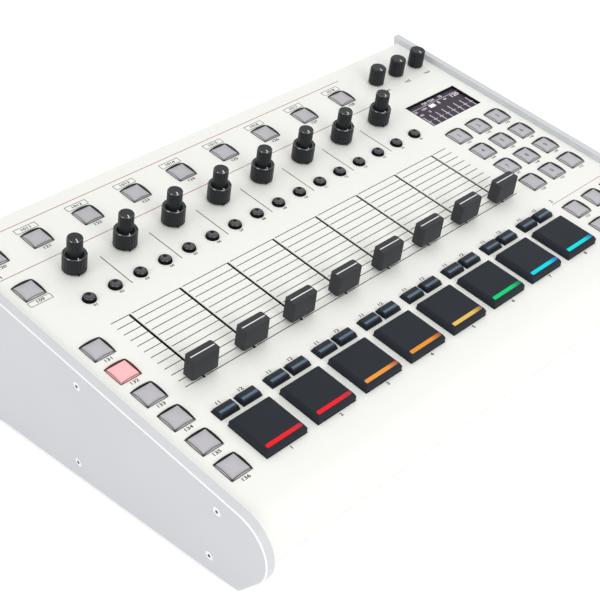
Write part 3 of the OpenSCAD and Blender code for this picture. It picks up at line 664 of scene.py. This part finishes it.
# A grip is (its radius, low, high, how many ribs, how deep the grooves are).
LOWER_GRIP, UPPER_GRIP = (LOWER_R, 2.0, 11.9, 21, 0.2), (UPPER_R, 12.4, 24.0, 13, 0.25)
LEVEL_GRIP = (LEVEL_R, 2.0, 13.0, 16, 0.25)
LOWER_MARK, UPPER_MARK = (1.3, 0.7, 12.9, 13.03, 6.35), (2.75, 0.6, 24.9, 25.0, 3.275)
LEVEL_MARK, MARK_RIM = (3.0, 0.7, 13.85, 14.0, 3.7), 0.03
LOWER_RIM, UPPER_RIM = 12.35, 24.5  # a knob's slanting rim is all higher than this
NUB, NUB_RIM = (1.4, 1.4, LIFT, LIFT + 1.3, LOWER_R + 0.1), 0.25
REST_TURN = math.radians(-107.5)  # a knob at its lower stop points down and a little to the left


def turn_to_rest(bm, verts):
    """Turns what was made along the right-hand direction to where a knob points at its lower stop."""
    bmesh.ops.rotate(bm, cent=(0, 0, 0), matrix=Matrix.Rotation(REST_TURN, 3, "Z"), verts=verts)


def lower_knob_shape():
    """The lower knob with its hollow shaft, and its nub under the mark."""
    bm = ribbed(LOWER, *LOWER_GRIP)
    nub = block(bm, *NUB)
    turn_to_rest(bm, nub)
    soften(bm, edges_of(nub), NUB_RIM)
    return bm


print("lower knob faces:", len(lower_knob_shape().faces))

# %% Knob pieces


def knob(name, shape, mark_size, place):
    """A knob's grip and its mark, which ride on the body of the same name. Gives the grip."""
    grip = piece(f"{name}_grip", repeated(shape, [place]), knob_black, name, (name,))
    mark = soft_block(mark_size, MARK_RIM, 1)
    turn_to_rest(mark, mark.verts)
    piece(f"{name}_mark", repeated(mark, [place]), mark_white, name)
    return grip


def polish_rim(obj, lowest):
    """Gives the slanting rim of a knob's top the polished finish."""
    obj.data.materials.append(rim_black)
    for face in obj.data.polygons:
        heights = [(PANEL_BACK @ obj.data.vertices[k].co).z for k in face.vertices]
        if min(heights) > lowest and max(heights) - min(heights) > 0.2:
            face.material_index = 1


for i in range(CHANNELS):
    place = (i * PITCH, KNOB_ROW)
    polish_rim(knob(f"lower_knob_{i + 1}", lower_knob_shape(), LOWER_MARK, place), LOWER_RIM)
    polish_rim(knob(f"upper_knob_{i + 1}", ribbed(UPPER, *UPPER_GRIP), UPPER_MARK, place), UPPER_RIM)
print("knobs:", 2 * CHANNELS)

# %% Level knobs
LEVEL_PITCH, LEVEL_U, LEVEL_V = 22.95, 38.5, 156.9
level_places = [(LAST + LEVEL_U + k * LEVEL_PITCH, LEVEL_V) for k in range(3)]
for k, place in enumerate(level_places):
    knob(f"level_knob_{k + 1}", ribbed(LEVEL, *LEVEL_GRIP), LEVEL_MARK, place)
print("level knobs:", len(level_places))

# %% [markdown]
# ## Square buttons
# A square button is a clear crowned cap over a milky light guide. The guide lies a little deeper, so the
# far walls show above it from inside, while the near walls look grey from outside. It is built as a
# crowned block that is see-through only on its top, and a pale block inside. The crown is a grid whose
# vertices follow a sphere; its border is extruded down for the walls. Two vertex masks tell the material
# where the block is clear and where it is a pale wall, and the shader's Backfacing tells the inside of a
# wall from its outside. The inside of the walls is painted dark as shade, and a wall's foot is painted
# dark as the shadow where the cap meets the panel.

# %% Clear smoky plastic and the light guide
TOP_ALPHA, WALL_ALPHA = 0.07, 0.95


def clear_top_finish(name, tint, rim, wall):
    """Smoky plastic: clear where the mask named clear is white, pale outside where the one named wall is.
    Elsewhere it takes the rim colour, which also paints the shade on the inside of the walls and the
    shadow at their foot.
    """
    material = finish(name, tint, tint, 0.3, bump=0.04, grain_scale=5000, gloss=0.26)
    tree = material.node_tree
    shader = tree.nodes["Principled BSDF"]
    clear = vertex_mask(tree, "clear")
    outside = math_node(tree, "SUBTRACT", 1.0, tree.nodes.new("ShaderNodeNewGeometry").outputs["Backfacing"])
    pale = math_node(tree, "MULTIPLY", vertex_mask(tree, "wall"), outside)
    wall_colour = mix_colour(tree, pale, paint(*rim), paint(*wall))
    top_colour = next(n for n in tree.nodes if n.type == "GROUP").outputs["Colour"]
    tree.links.new(mix_colour(tree, clear, wall_colour, top_colour), shader.inputs["Base Color"])
    span = math_node(tree, "MULTIPLY", clear, TOP_ALPHA - WALL_ALPHA)
    tree.links.new(math_node(tree, "ADD", span, WALL_ALPHA), shader.inputs["Alpha"])
    return material


# The second colour is the dark rim; it also paints the shade inside the walls and the shadow at their foot.
smoke_shell = clear_top_finish("smoky cap", (120, 118, 122), (14, 14, 16), (196, 195, 198))
# The lit mode button's cap is tinted red with pink walls: a painted glow of the red lamp under it.
red_glow_shell = clear_top_finish("smoky cap with painted red glow", (200, 120, 124), (48, 14, 16), (250, 176, 178))
guide_milk = finish("milky light guide", (204, 202, 207), (197, 195, 201), 0.5, bump=0.2, grain_scale=1500)
guide_lit = lit("lit light guide", (255, 196, 198), 0.5, own=0.6)
print("smoky cap nodes:", len(smoke_shell.node_tree.nodes))

# %% Sizes of a square cap
SQUARE, SQUARE_TOP, CROWN_R, CROWN_STEPS = 15.2, 3.0, 26.0, 8
BUTTON_LOW, BUTTON_FOOT = -3.3, -2.3  # a button is held under the panel between these heights
SQUARE_CORNER, SQUARE_FOOT = 0.6, (17.2, 17.2, BUTTON_LOW, BUTTON_FOOT)
STEM = (-6.5, BUTTON_LOW, 1.8, 1.8)
RIM_WIDE, RIM_DEEP = 0.5, 0.6  # the dark rim round the clear top, across and down the wall
WALL_LOW = 0.45  # the pale strip of a wall ends here; below it the foot is painted dark as a shadow
WALL_STEPS = ((RIM_DEEP, SQUARE_TOP), (0.02, WALL_LOW), (0.02, WALL_LOW - 0.3), (0.02, BUTTON_FOOT))
CORNER_REACH = 1.6  # the clear top runs further out this near to a corner
print("square cap:", SQUARE, "mm wide")

# %% The crown and its masks


def mask(bm, name, shade):
    """Adds a mask: what shade gives for each vertex, from 0 to 1."""
    layer = bm.verts.layers.float_color.new(name)
    for vert in bm.verts:
        value = float(shade(vert))
        vert[layer] = (value, value, value, 1)


def crown(vert):
    """How high the crowned top is over a vertex."""
    return SQUARE_TOP - CROWN_R + math.sqrt(max(CROWN_R ** 2 - vert.co.x ** 2 - vert.co.y ** 2, 0))


def inset(vert):
    """How far a vertex lies in from the nearest wall."""
    return SQUARE / 2 - max(abs(vert.co.x), abs(vert.co.y))


def is_clear(vert):
    """True for a vertex of the clear top."""
    near_corner = SQUARE / 2 - min(abs(vert.co.x), abs(vert.co.y)) < CORNER_REACH and inset(vert) > 0.05
    return (inset(vert) > 0.8 * RIM_WIDE or near_corner) and vert.co.z > 0.2


def is_wall(vert):
    """True for a vertex of the pale strip of a wall."""
    return (inset(vert) < 0.1 and crown(vert) - vert.co.z > RIM_DEEP - 0.1
            and vert.co.z > WALL_LOW - 0.1 and crown(vert) > WALL_LOW + 0.6)


# %% The shape of a square cap


def new_verts(made):
    """The vertices among what an extrusion made."""
    return [g for g in made["geom"] if isinstance(g, bmesh.types.BMVert)]


def cap_shell_shape():
    """A crowned square cap with its foot and stem, and its two masks."""
    bm = bmesh.new()
    half = SQUARE / 2
    bmesh.ops.create_grid(bm, x_segments=CROWN_STEPS, y_segments=CROWN_STEPS, size=half)
    for vert in bm.verts:
        vert.co.z = crown(vert)
    for down, highest in WALL_STEPS:
        for vert in new_verts(bmesh.ops.extrude_edge_only(bm, edges=[e for e in bm.edges if e.is_boundary])):
            vert.co.z = min(vert.co.z - down, highest)
    bmesh.ops.contextual_create(bm, geom=[e for e in bm.edges if e.is_boundary])
    bmesh.ops.recalc_face_normals(bm, faces=bm.faces)
    corners = [e for e in bm.edges if upright(e) and abs(e.verts[0].co.x) > half - 0.01
               and abs(e.verts[0].co.y) > half - 0.01]
    soften(bm, corners, SQUARE_CORNER, 3)
    rim = [e for e in bm.edges if e.calc_face_angle(0) > math.radians(50)
           and min(v.co.z for v in e.verts) > 0]
    soften(bm, rim, RIM_WIDE)
    mask(bm, "clear", is_clear)
    mask(bm, "wall", is_wall)
    block(bm, *SQUARE_FOOT)
    peg(bm, *STEM)
    return bm


print("square cap faces:", len(cap_shell_shape().faces))

# %% Light guides
GUIDE_TOP, GUIDE_RIM = 0.6, 0.35
GUIDE = (13.2, 13.2, BUTTON_FOOT + 0.1, GUIDE_TOP)


def light_guide_shape():
    """The milky block inside a square cap."""
    return soft_block(GUIDE, GUIDE_RIM, 2, lambda edge: max(v.co.z for v in edge.verts) > 0)


print("light guide faces:", len(light_guide_shape().faces))

# %% Places of the square buttons
GRID = 22.95
LEFT_U, LEFT_V = -34.0, 55.0
ROW_V, SHIFT_V = 156.9, 119.9
KEYPAD_U, KEYPAD_V, TRANSPORT_V = LAST + 36.5, 71.3, -36.5
LIT_MODE = 1  # which button of the left column is lit; the far one is 0


def grid_places(u, v, columns, rows):
    """The places of a block of buttons, row by row from its far left one."""
    return [(u + k * GRID, v - j * GRID) for j in range(rows) for k in range(columns)]


function_places = [(i * PITCH, ROW_V) for i in range(CHANNELS)] + [(LEFT_U, ROW_V), (LEFT_U, SHIFT_V)]
mode_places = grid_places(LEFT_U, LEFT_V, 1, 6)
keypad_places = grid_places(KEYPAD_U, KEYPAD_V, 3, 4)
transport_places = grid_places(KEYPAD_U, TRANSPORT_V, 3, 2)
dark_modes = mode_places[:LIT_MODE] + mode_places[LIT_MODE + 1:]
print("square buttons:", len(function_places + mode_places + keypad_places + transport_places))

# %% Square button pieces
for name, places in (("function", function_places), ("keypad", keypad_places),
                     ("transport", transport_places), ("mode", dark_modes)):
    body = f"{name}_buttons"
    piece(f"{name}_caps", repeated(cap_shell_shape(), places), smoke_shell, body, (body,))
    piece(f"{name}_light_guides", repeated(light_guide_shape(), places), guide_milk, body)
lit_mode = [mode_places[LIT_MODE]]
piece("mode_cap_lit", repeated(cap_shell_shape(), lit_mode), red_glow_shell, "mode_buttons")
piece("mode_light_guide_lit", repeated(light_guide_shape(), lit_mode), guide_lit, "mode_buttons")
print("dark mode buttons:", len(dark_modes))

# %% [markdown]
# ## Round step buttons, mute and solo buttons
# The sixteen step buttons are little turned domes with a flat, each in a black collar whose black also
# paints the shade round the foot of the dome, and each with a small dark disc near the far side of its
# flat, a painted shade. The mute and solo buttons are low blocks that lean in on all sides, with a
# grey-blue window bar let into the top.

# %% Step buttons
STEP_V, STEP_U, TURN_STEPS = 92.5, 10.0, 40
DOME = [(0, BUTTON_LOW), (5.4, BUTTON_LOW), (5.4, BUTTON_FOOT), (4.25, BUTTON_FOOT), (4.25, 0.8), (4.2, 1.15),
        (3.9, 1.85), (3.45, 2.45), (2.9, 2.85), (2.4, 2.95), (0, 3.0)]
COLLAR = [(3.7, -2.2), (4.4, -2.2), (4.4, 1.1), (4.32, 1.45), (4.02, 1.95), (3.86, 2.05), (3.7, 1.9),
          (3.7, -2.2)]
DARK_SPOT = (2.7, 3.0, 1.45, 1.35, 0.3, 1.0)  # a small dark disc near the far side of the flat, a painted shade on the dome
step = turned(DOME, TURN_STEPS)
peg(step, *STEM)
# A small dark disc on each flat: painted shade.
lamp = bmesh.new()
peg(lamp, *DARK_SPOT)
step_places = [(i * PITCH + side * STEP_U, STEP_V) for i in range(CHANNELS) for side in (-1, 1)]
piece("step_caps", repeated(step, step_places), step_black, "step_buttons", ("step_buttons",))
# The collars' black paints the shade round the foot of each dome.
piece("step_collars_as_shade", repeated(turned(COLLAR, TURN_STEPS), step_places), collar_black_shade, "step_buttons")
piece("step_dark_spots", repeated(lamp, step_places), black_plastic_and_shade, "step_buttons")
print("step buttons:", len(step_places))

# %% Mute and solo buttons
BAR_V, BAR_U = -26.6, 8.6
BAR, BAR_SHARE, BAR_RIM = (14.6, 8.6, 0.4, 2.8), (13.0 / 14.6, 7.0 / 8.6), 0.45
BAR_BODY, BAR_FOOT = (14.4, 8.4, BUTTON_LOW, 0.9), (15.6, 10.6, BUTTON_LOW, BUTTON_FOOT)
WINDOW, WINDOW_CORNER = (11.8, 1.9, 2.5, 2.85, 0, -1.15), 0.3


def bar_button_shape():
    """A low block that leans in, with its foot and stem."""
    bm = bmesh.new()
    verts = block(bm, *BAR)
    draw_in(bm, 1, *BAR_SHARE)
    soften(bm, edges_of(verts), BAR_RIM, 3)
    block(bm, *BAR_BODY)
    block(bm, *BAR_FOOT)
    peg(bm, *STEM)
    return bm


for name, side in (("mute", -1), ("solo", 1)):
    body, places = f"{name}_buttons", [(i * PITCH + side * BAR_U, BAR_V) for i in range(CHANNELS)]
    piece(f"{name}_caps", repeated(bar_button_shape(), places), bar_navy, body, (body,))
    window = soft_block(WINDOW, WINDOW_CORNER, 2, upright)
    piece(f"{name}_windows", repeated(window, places), bar_window, body)
print("mute and solo buttons:", 2 * CHANNELS)

# %% [markdown]
# ## Drum pads
# Each pad is a slab of silicone with a chamfer round its top, and a lit bar near its front edge. The
# slab is a cube, cut once at the foot of the chamfer so that its top can be drawn in; its edges are
# rounded and a shallow groove is sunk. The bar is its own glowing piece in that groove, with round
# ends. The eight colours run from red over orange and green to blue, and a mask along the bar lets each
# one fade towards its right end, as a row of lamps behind it does.

# %% Pads
PAD_V, PAD_W, PAD_WALL, PAD_TOP = -51.6, 31.4, 3.3, 5.3
PAD, PAD_FOOT = (PAD_W, PAD_W, -2.4, PAD_TOP), (PAD_W + 2, PAD_W + 2, -4.3, -2.3)
PAD_SHARE = 28.8 / PAD_W  # what is left of its width at the top
PAD_CORNER, PAD_RIDGE = 0.6, 0.35
GROOVE_LONG, GROOVE_WIDE, GROOVE_DEEP, GROOVE_V = 27.5, 2.9, 0.8, -12.2
GLOW_END = 0.9
GLOW = (GROOVE_LONG - 0.2, GROOVE_WIDE - 0.2, PAD_TOP - 0.9, PAD_TOP + 0.08, 0, GROOVE_V)


def cut(bm, place, normal):
    """Cuts a shape along a plane and keeps both sides."""
    bmesh.ops.bisect_plane(bm, geom=bm.verts[:] + bm.edges[:] + bm.faces[:], dist=0.0001, plane_co=place,
                           plane_no=normal)


def in_groove(face):
    """True for a face of a pad's top that lies in its groove."""
    middle = face.calc_center_median()
    return (face.normal.z > 0.99 and middle.z > PAD_TOP - 0.1 and abs(middle.x) < GROOVE_LONG / 2
            and abs(middle.y - GROOVE_V) < GROOVE_WIDE / 2)


def pad_shape():
    """A pad with rounded edges, its groove and its foot under the panel."""
    bm = bmesh.new()
    block(bm, *PAD)
    cut(bm, (0, 0, PAD_WALL), (0, 0, 1))
    draw_in(bm, PAD_WALL + 0.1, PAD_SHARE, PAD_SHARE)
    soften(bm, [e for e in bm.edges if upright(e)], PAD_CORNER, 3)
    bm.normal_update()
    ridges = [e for e in bm.edges if not upright(e) and min(v.co.z for v in e.verts) > 1
              and e.calc_face_angle(0) > math.radians(25)]
    soften(bm, ridges, PAD_RIDGE)
    for side in (-1, 1):
        cut(bm, (0, GROOVE_V + side * GROOVE_WIDE / 2, 0), (0, 1, 0))
    for side in (-1, 1):
        cut(bm, (side * GROOVE_LONG / 2, 0, 0), (1, 0, 0))
    groove = [face for face in bm.faces if in_groove(face)]
    sunk = new_verts(bmesh.ops.extrude_face_region(bm, geom=groove))
    bmesh.ops.delete(bm, geom=groove, context="FACES_ONLY")
    bmesh.ops.translate(bm, vec=(0, 0, -GROOVE_DEEP), verts=sunk)
    block(bm, *PAD_FOOT)
    return bm


def pad_bar_shape():
    """The lit bar in a pad's groove."""
    bm = soft_block(GLOW, GLOW_END, 4, upright)
    mask(bm, "along", lambda vert: 0.5 + vert.co.x / GROOVE_LONG)
    return bm


print("pad faces:", len(pad_shape().faces))

# %% Pad pieces
PAD_GLOW = 0.6
PAD_COLOURS = [(245, 34, 42), (245, 34, 42), (249, 160, 68), (243, 155, 56), (242, 198, 98), (0, 214, 122),
               (0, 224, 243), (0, 230, 238)]
PAD_ENDS = [(196, 50, 70), (190, 54, 70), (190, 100, 60), (172, 90, 62), (174, 120, 72), (20, 136, 88),
            (30, 124, 202), (30, 122, 200)]
for i, (colour, end_colour) in enumerate(zip(PAD_COLOURS, PAD_ENDS)):
    body, centre = f"drum_pad_{i + 1}", [(i * PITCH, PAD_V)]
    piece(f"{body}_rubber", repeated(pad_shape(), centre), pad_rubber, body, (body,))
    piece(f"{body}_bar", repeated(pad_bar_shape(), centre),
          lit(f"pad {i + 1} light", colour, PAD_GLOW, end_colour), body)
print("pads:", len(PAD_COLOURS))

# %% [markdown]
# ## Display
# The display lies behind the panel under a dark window. Its marks are thin glowing bars and plain
# numbers on that window: a block for the step that is playing, and a row of level lines.

# %% Numbers and bars
INK = 0.035  # how thick a printed line is
DIGIT_SHARE = 0.7  # the height of a number, as a share of its font size
DIGIT_BOLD = 0.03  # how far strokes are widened, as a share of the height
LABEL, SQUEEZE = 2.3, 1.3  # the usual height of a number, and how far it is widened


def add_number(bm, number, u, v, height=LABEL, squeeze=SQUEEZE, w=0.0, thick=0.03):
    """Adds a plain number to a bmesh, with its middle at a place."""
    curve = bpy.data.curves.new("numbers", "FONT")
    curve.body = str(number)
    curve.size = height / DIGIT_SHARE
    curve.align_x = "CENTER"
    curve.align_y = "CENTER"
    curve.extrude = thick / 2
    curve.offset = height * DIGIT_BOLD
    curve.resolution_u = 3
    obj = bpy.data.objects.new("numbers", curve)
    bpy.context.collection.objects.link(obj)
    bpy.context.view_layer.update()
    mesh = bpy.data.meshes.new_from_object(obj.evaluated_get(bpy.context.evaluated_depsgraph_get()))
    mesh.transform(Matrix.Translation((u, v, w + thick / 2)) @ Matrix.Diagonal((squeeze, 1, 1, 1)))
    bm.from_mesh(mesh)
    bpy.data.meshes.remove(mesh)
    bpy.data.objects.remove(obj)
    bpy.data.curves.remove(curve)


def add_line(bm, u0, v0, u1, v1, thick, w=0.0):
    """Adds a straight printed line between two points, along u or v."""
    wide, deep = abs(u1 - u0) or thick, abs(v1 - v0) or thick
    block(bm, wide, deep, w, w + INK, (u0 + u1) / 2, (v0 + v1) / 2)


def add_frame(bm, u0, v0, u1, v1, thick):
    """Adds a printed box outline."""
    for v in (v0, v1):
        add_line(bm, u0, v, u1, v, thick)
    for u in (u0, u1):
        add_line(bm, u, v0, u, v1, thick)


# %% Display window
DISPLAY_U, DISPLAY_V, DISPLAY_LEFT, DISPLAY_LOW = LAST + 58.9, 105.5, LAST + 30.8, 91.05
GLASS_TOP, PANE_CORNER, BEZEL_WALL = -2.0, 0.8, 0.5
PANE, BEZEL = (60.2, 32.9, GLASS_TOP - 1.5, GLASS_TOP), (56.0, 28.7, GLASS_TOP, -0.3)
display_glass = finish("dark display window", (66, 55, 70), (60, 50, 64), 0.22, spread=0.02, bump=0.0,
                       gloss=0.13)
pane = soft_block((*PANE, DISPLAY_U, DISPLAY_V), PANE_CORNER, 3, upright)
piece("display_pane", pane, display_glass, "case", ("display_window",))
bezel = bmesh.new()
walls(bezel, BEZEL_WALL, *BEZEL, DISPLAY_U, DISPLAY_V)
print("bezel faces:", len(bezel.faces))
piece("display_bezel", bezel, black_plastic_and_shade, "case")

# %% Display marks
DISPLAY_GLOW = 0.8
NUMBERS = [("120 1234", 24.0, 26.3, 2.2, 1.2), ("16", 37.8, 26.2, 2.6, 1.1), ("01", 5.2, 21.4, 2.1, 1.1),
           ("1234", 14.0, 21.2, 1.9, 1.05), ("8", 31.0, 21.0, 3.0, 1.0), ("44", 38.6, 21.4, 1.9, 1.2),
           ("120", 49.6, 21.2, 3.3, 1.35), ("001", 6.6, 16.6, 1.7, 1.1), ("2", 15.6, 16.7, 2.1, 1.3)]
RULE = (0.8, 23.9, 55.4, 23.9, 0.3)  # its two ends, and its thickness
LEVELS, LEVEL_FIRST, LEVEL_STEP = 8, 4.4, 7.06
LEVEL_LINES = ((0, 0.4, 0, 13.8, 0.62), (-2.4, 7.5, 2.4, 7.5, 0.32))
NOW_PLAYING = (6.0, 3.5, GLASS_TOP, GLASS_TOP + 0.06, DISPLAY_LEFT + 23.2, DISPLAY_LOW + 20.95)


def display_line(u0, v0, u1, v1, thick, u=0.0):
    """Adds a line to the display's marks, counted from the display's near left corner."""
    left = DISPLAY_LEFT + u
    add_line(marks, left + u0, DISPLAY_LOW + v0, left + u1, DISPLAY_LOW + v1, thick, GLASS_TOP)


marks = bmesh.new()
for number, u, v, height, squeeze in NUMBERS:
    add_number(marks, number, DISPLAY_LEFT + u, DISPLAY_LOW + v, height, squeeze, GLASS_TOP)
display_line(*RULE)
for k in range(LEVELS):
    for line in LEVEL_LINES:
        display_line(*line, LEVEL_FIRST + k * LEVEL_STEP)
print("display mark faces:", len(marks.faces))
piece("display_marks", marks, lit("display light", (225, 219, 230), DISPLAY_GLOW), "case")
playing = bmesh.new()
block(playing, *NOW_PLAYING)
piece("display_block", playing, lit("display block", (250, 250, 252), DISPLAY_GLOW), "case")

# %% [markdown]
# ## Printing on the panel
# Screen printing is a film of ink a few hundredths of a millimetre thick. It is made as very thin boxes
# and extruded numbers, so it stays crisp at any distance and survives the export. Only plain numbers
# are printed: each stands where a control needs its label.

# %% Fader scales
INK_FINE, INK_LINE = 0.42, 0.56
SCALE_LEFT, SCALE_RIGHT, SCALE_LOW, SCALE_STEP, SCALE_ROWS = -14.2, LAST + 15.7, 0.9, 6.03, 12
SLOT_LEFT, SLOT_RIGHT = 0.9, 1.9  # the ends of the lines from the middle of a slot
DIVIDER_LOW, DIVIDER_HIGH = 88.1, 119.6
scale_lines = bmesh.new()
stops = [x for i in range(CHANNELS) for x in (i * PITCH - SLOT_LEFT, i * PITCH + SLOT_RIGHT)]
for row in range(SCALE_ROWS):
    v = SCALE_LOW + row * SCALE_STEP
    for u0, u1 in zip([SCALE_LEFT] + stops[1::2], stops[::2] + [SCALE_RIGHT]):
        add_line(scale_lines, u0, v, u1, v, INK_LINE)
for i in range(CHANNELS - 1):
    u = (i + 0.5) * PITCH
    add_line(scale_lines, u, DIVIDER_LOW, u, DIVIDER_HIGH, INK_LINE)
print("scale line faces:", len(scale_lines.faces))
piece("panel_scale_lines", scale_lines, ink_black, "case")

# %% Label boxes and red lines
BOX_LEFT, BOX_RIGHT, BOX_LOW, BOX_HIGH = -8.0, 8.3, 166.6, 171.3
SHIFT_BOX = (LEFT_U - 7.9, 106.7, LEFT_U + 8.3, 110.9)
RED_LINES = ((-42.5, SCALE_RIGHT, 175.4, 0.5), (-42.5, SCALE_RIGHT, 136.7, 0.5),
             (LAST + 26.2, LAST + 92, -23.1, 0.4))
columns = [LEFT_U] + [i * PITCH for i in range(CHANNELS)]
frames = bmesh.new()
for u in columns:
    add_frame(frames, u + BOX_LEFT, BOX_LOW, u + BOX_RIGHT, BOX_HIGH, INK_FINE)
add_frame(frames, *SHIFT_BOX, INK_FINE)
piece("panel_label_boxes", frames, ink_grey, "case")
red_lines = bmesh.new()
for u0, u1, v, thick in RED_LINES:
    add_line(red_lines, u0, v, u1, v, thick)
piece("panel_red_lines", red_lines, ink_red, "case")
print("label boxes:", len(columns) + 1)

# %% Numbers on the panel
NAME_V, TWIN_V, BAR_LABEL_V, PAD_LABEL_V, SHIFT_LABEL_V = 168.9, 146.6, -19.5, -69.8, 108.8
STEP_DOWN, MODE_DOWN, KEY_DOWN, LEVEL_DOWN = 6.5, 10.2, 9.8, 12.7  # from a control to its label
AREA_NUMBERS = ((1, -40, 139.6, 3.2), (0, -40, 179.2, 3.2), (2, LAST + 28.5, -20.0, 3.0))
dark_text = bmesh.new()
for k, u in enumerate(columns):
    add_number(dark_text, 1010 + k, u + 0.2, NAME_V)
    add_number(dark_text, 120 + k, u, TWIN_V)
for i in range(CHANNELS):
    u = i * PITCH + 0.5
    add_number(dark_text, 11, u - BAR_U, BAR_LABEL_V)
    add_number(dark_text, 12, u + BAR_U, BAR_LABEL_V)
    add_number(dark_text, i + 1, u + 0.3, PAD_LABEL_V)
for k, (u, v) in enumerate(step_places):
    add_number(dark_text, f"{k + 1:02d}", u, v - STEP_DOWN, 1.9, 1.2)
add_number(dark_text, 109, LEFT_U + 0.2, SHIFT_LABEL_V)
for j, (u, v) in enumerate(mode_places):
    add_number(dark_text, 131 + j, u, v - MODE_DOWN)
for number, u, v, height in AREA_NUMBERS:
    add_number(dark_text, number, u, v, height, 1)
for k, (u, v) in enumerate(level_places):
    add_number(dark_text, 161 + k, u, v - LEVEL_DOWN)
print("dark number faces:", len(dark_text.faces))
piece("panel_numbers", dark_text, ink_black, "case")

light_text = bmesh.new()
for j, (u, v) in enumerate(keypad_places + transport_places):
    add_number(light_text, 141 + j, u + 0.3, v - KEY_DOWN, 1.8)
print("small number faces:", len(light_text.faces))
piece("panel_small_numbers", light_text, ink_grey, "case")

# %% Digits on the keypad caps
KEYS = ["1", "2", "3", "4", "5", "6", "7", "8", "9", "", "0", ""]
KEY_DIGIT, KEY_INK = 3.6, 0.05
digits = bmesh.new()
for key, (u, v) in zip(KEYS, keypad_places):
    if key:
        add_number(digits, key, u, v, KEY_DIGIT, 1.0, GUIDE_TOP + 0.01, KEY_INK)
print("key digit faces:", len(digits.faces))
key_ink = finish("key digit ink", (96, 92, 102), (90, 86, 96), 0.5, bump=0.02)
piece("keypad_digits", digits, key_ink, "keypad_buttons")
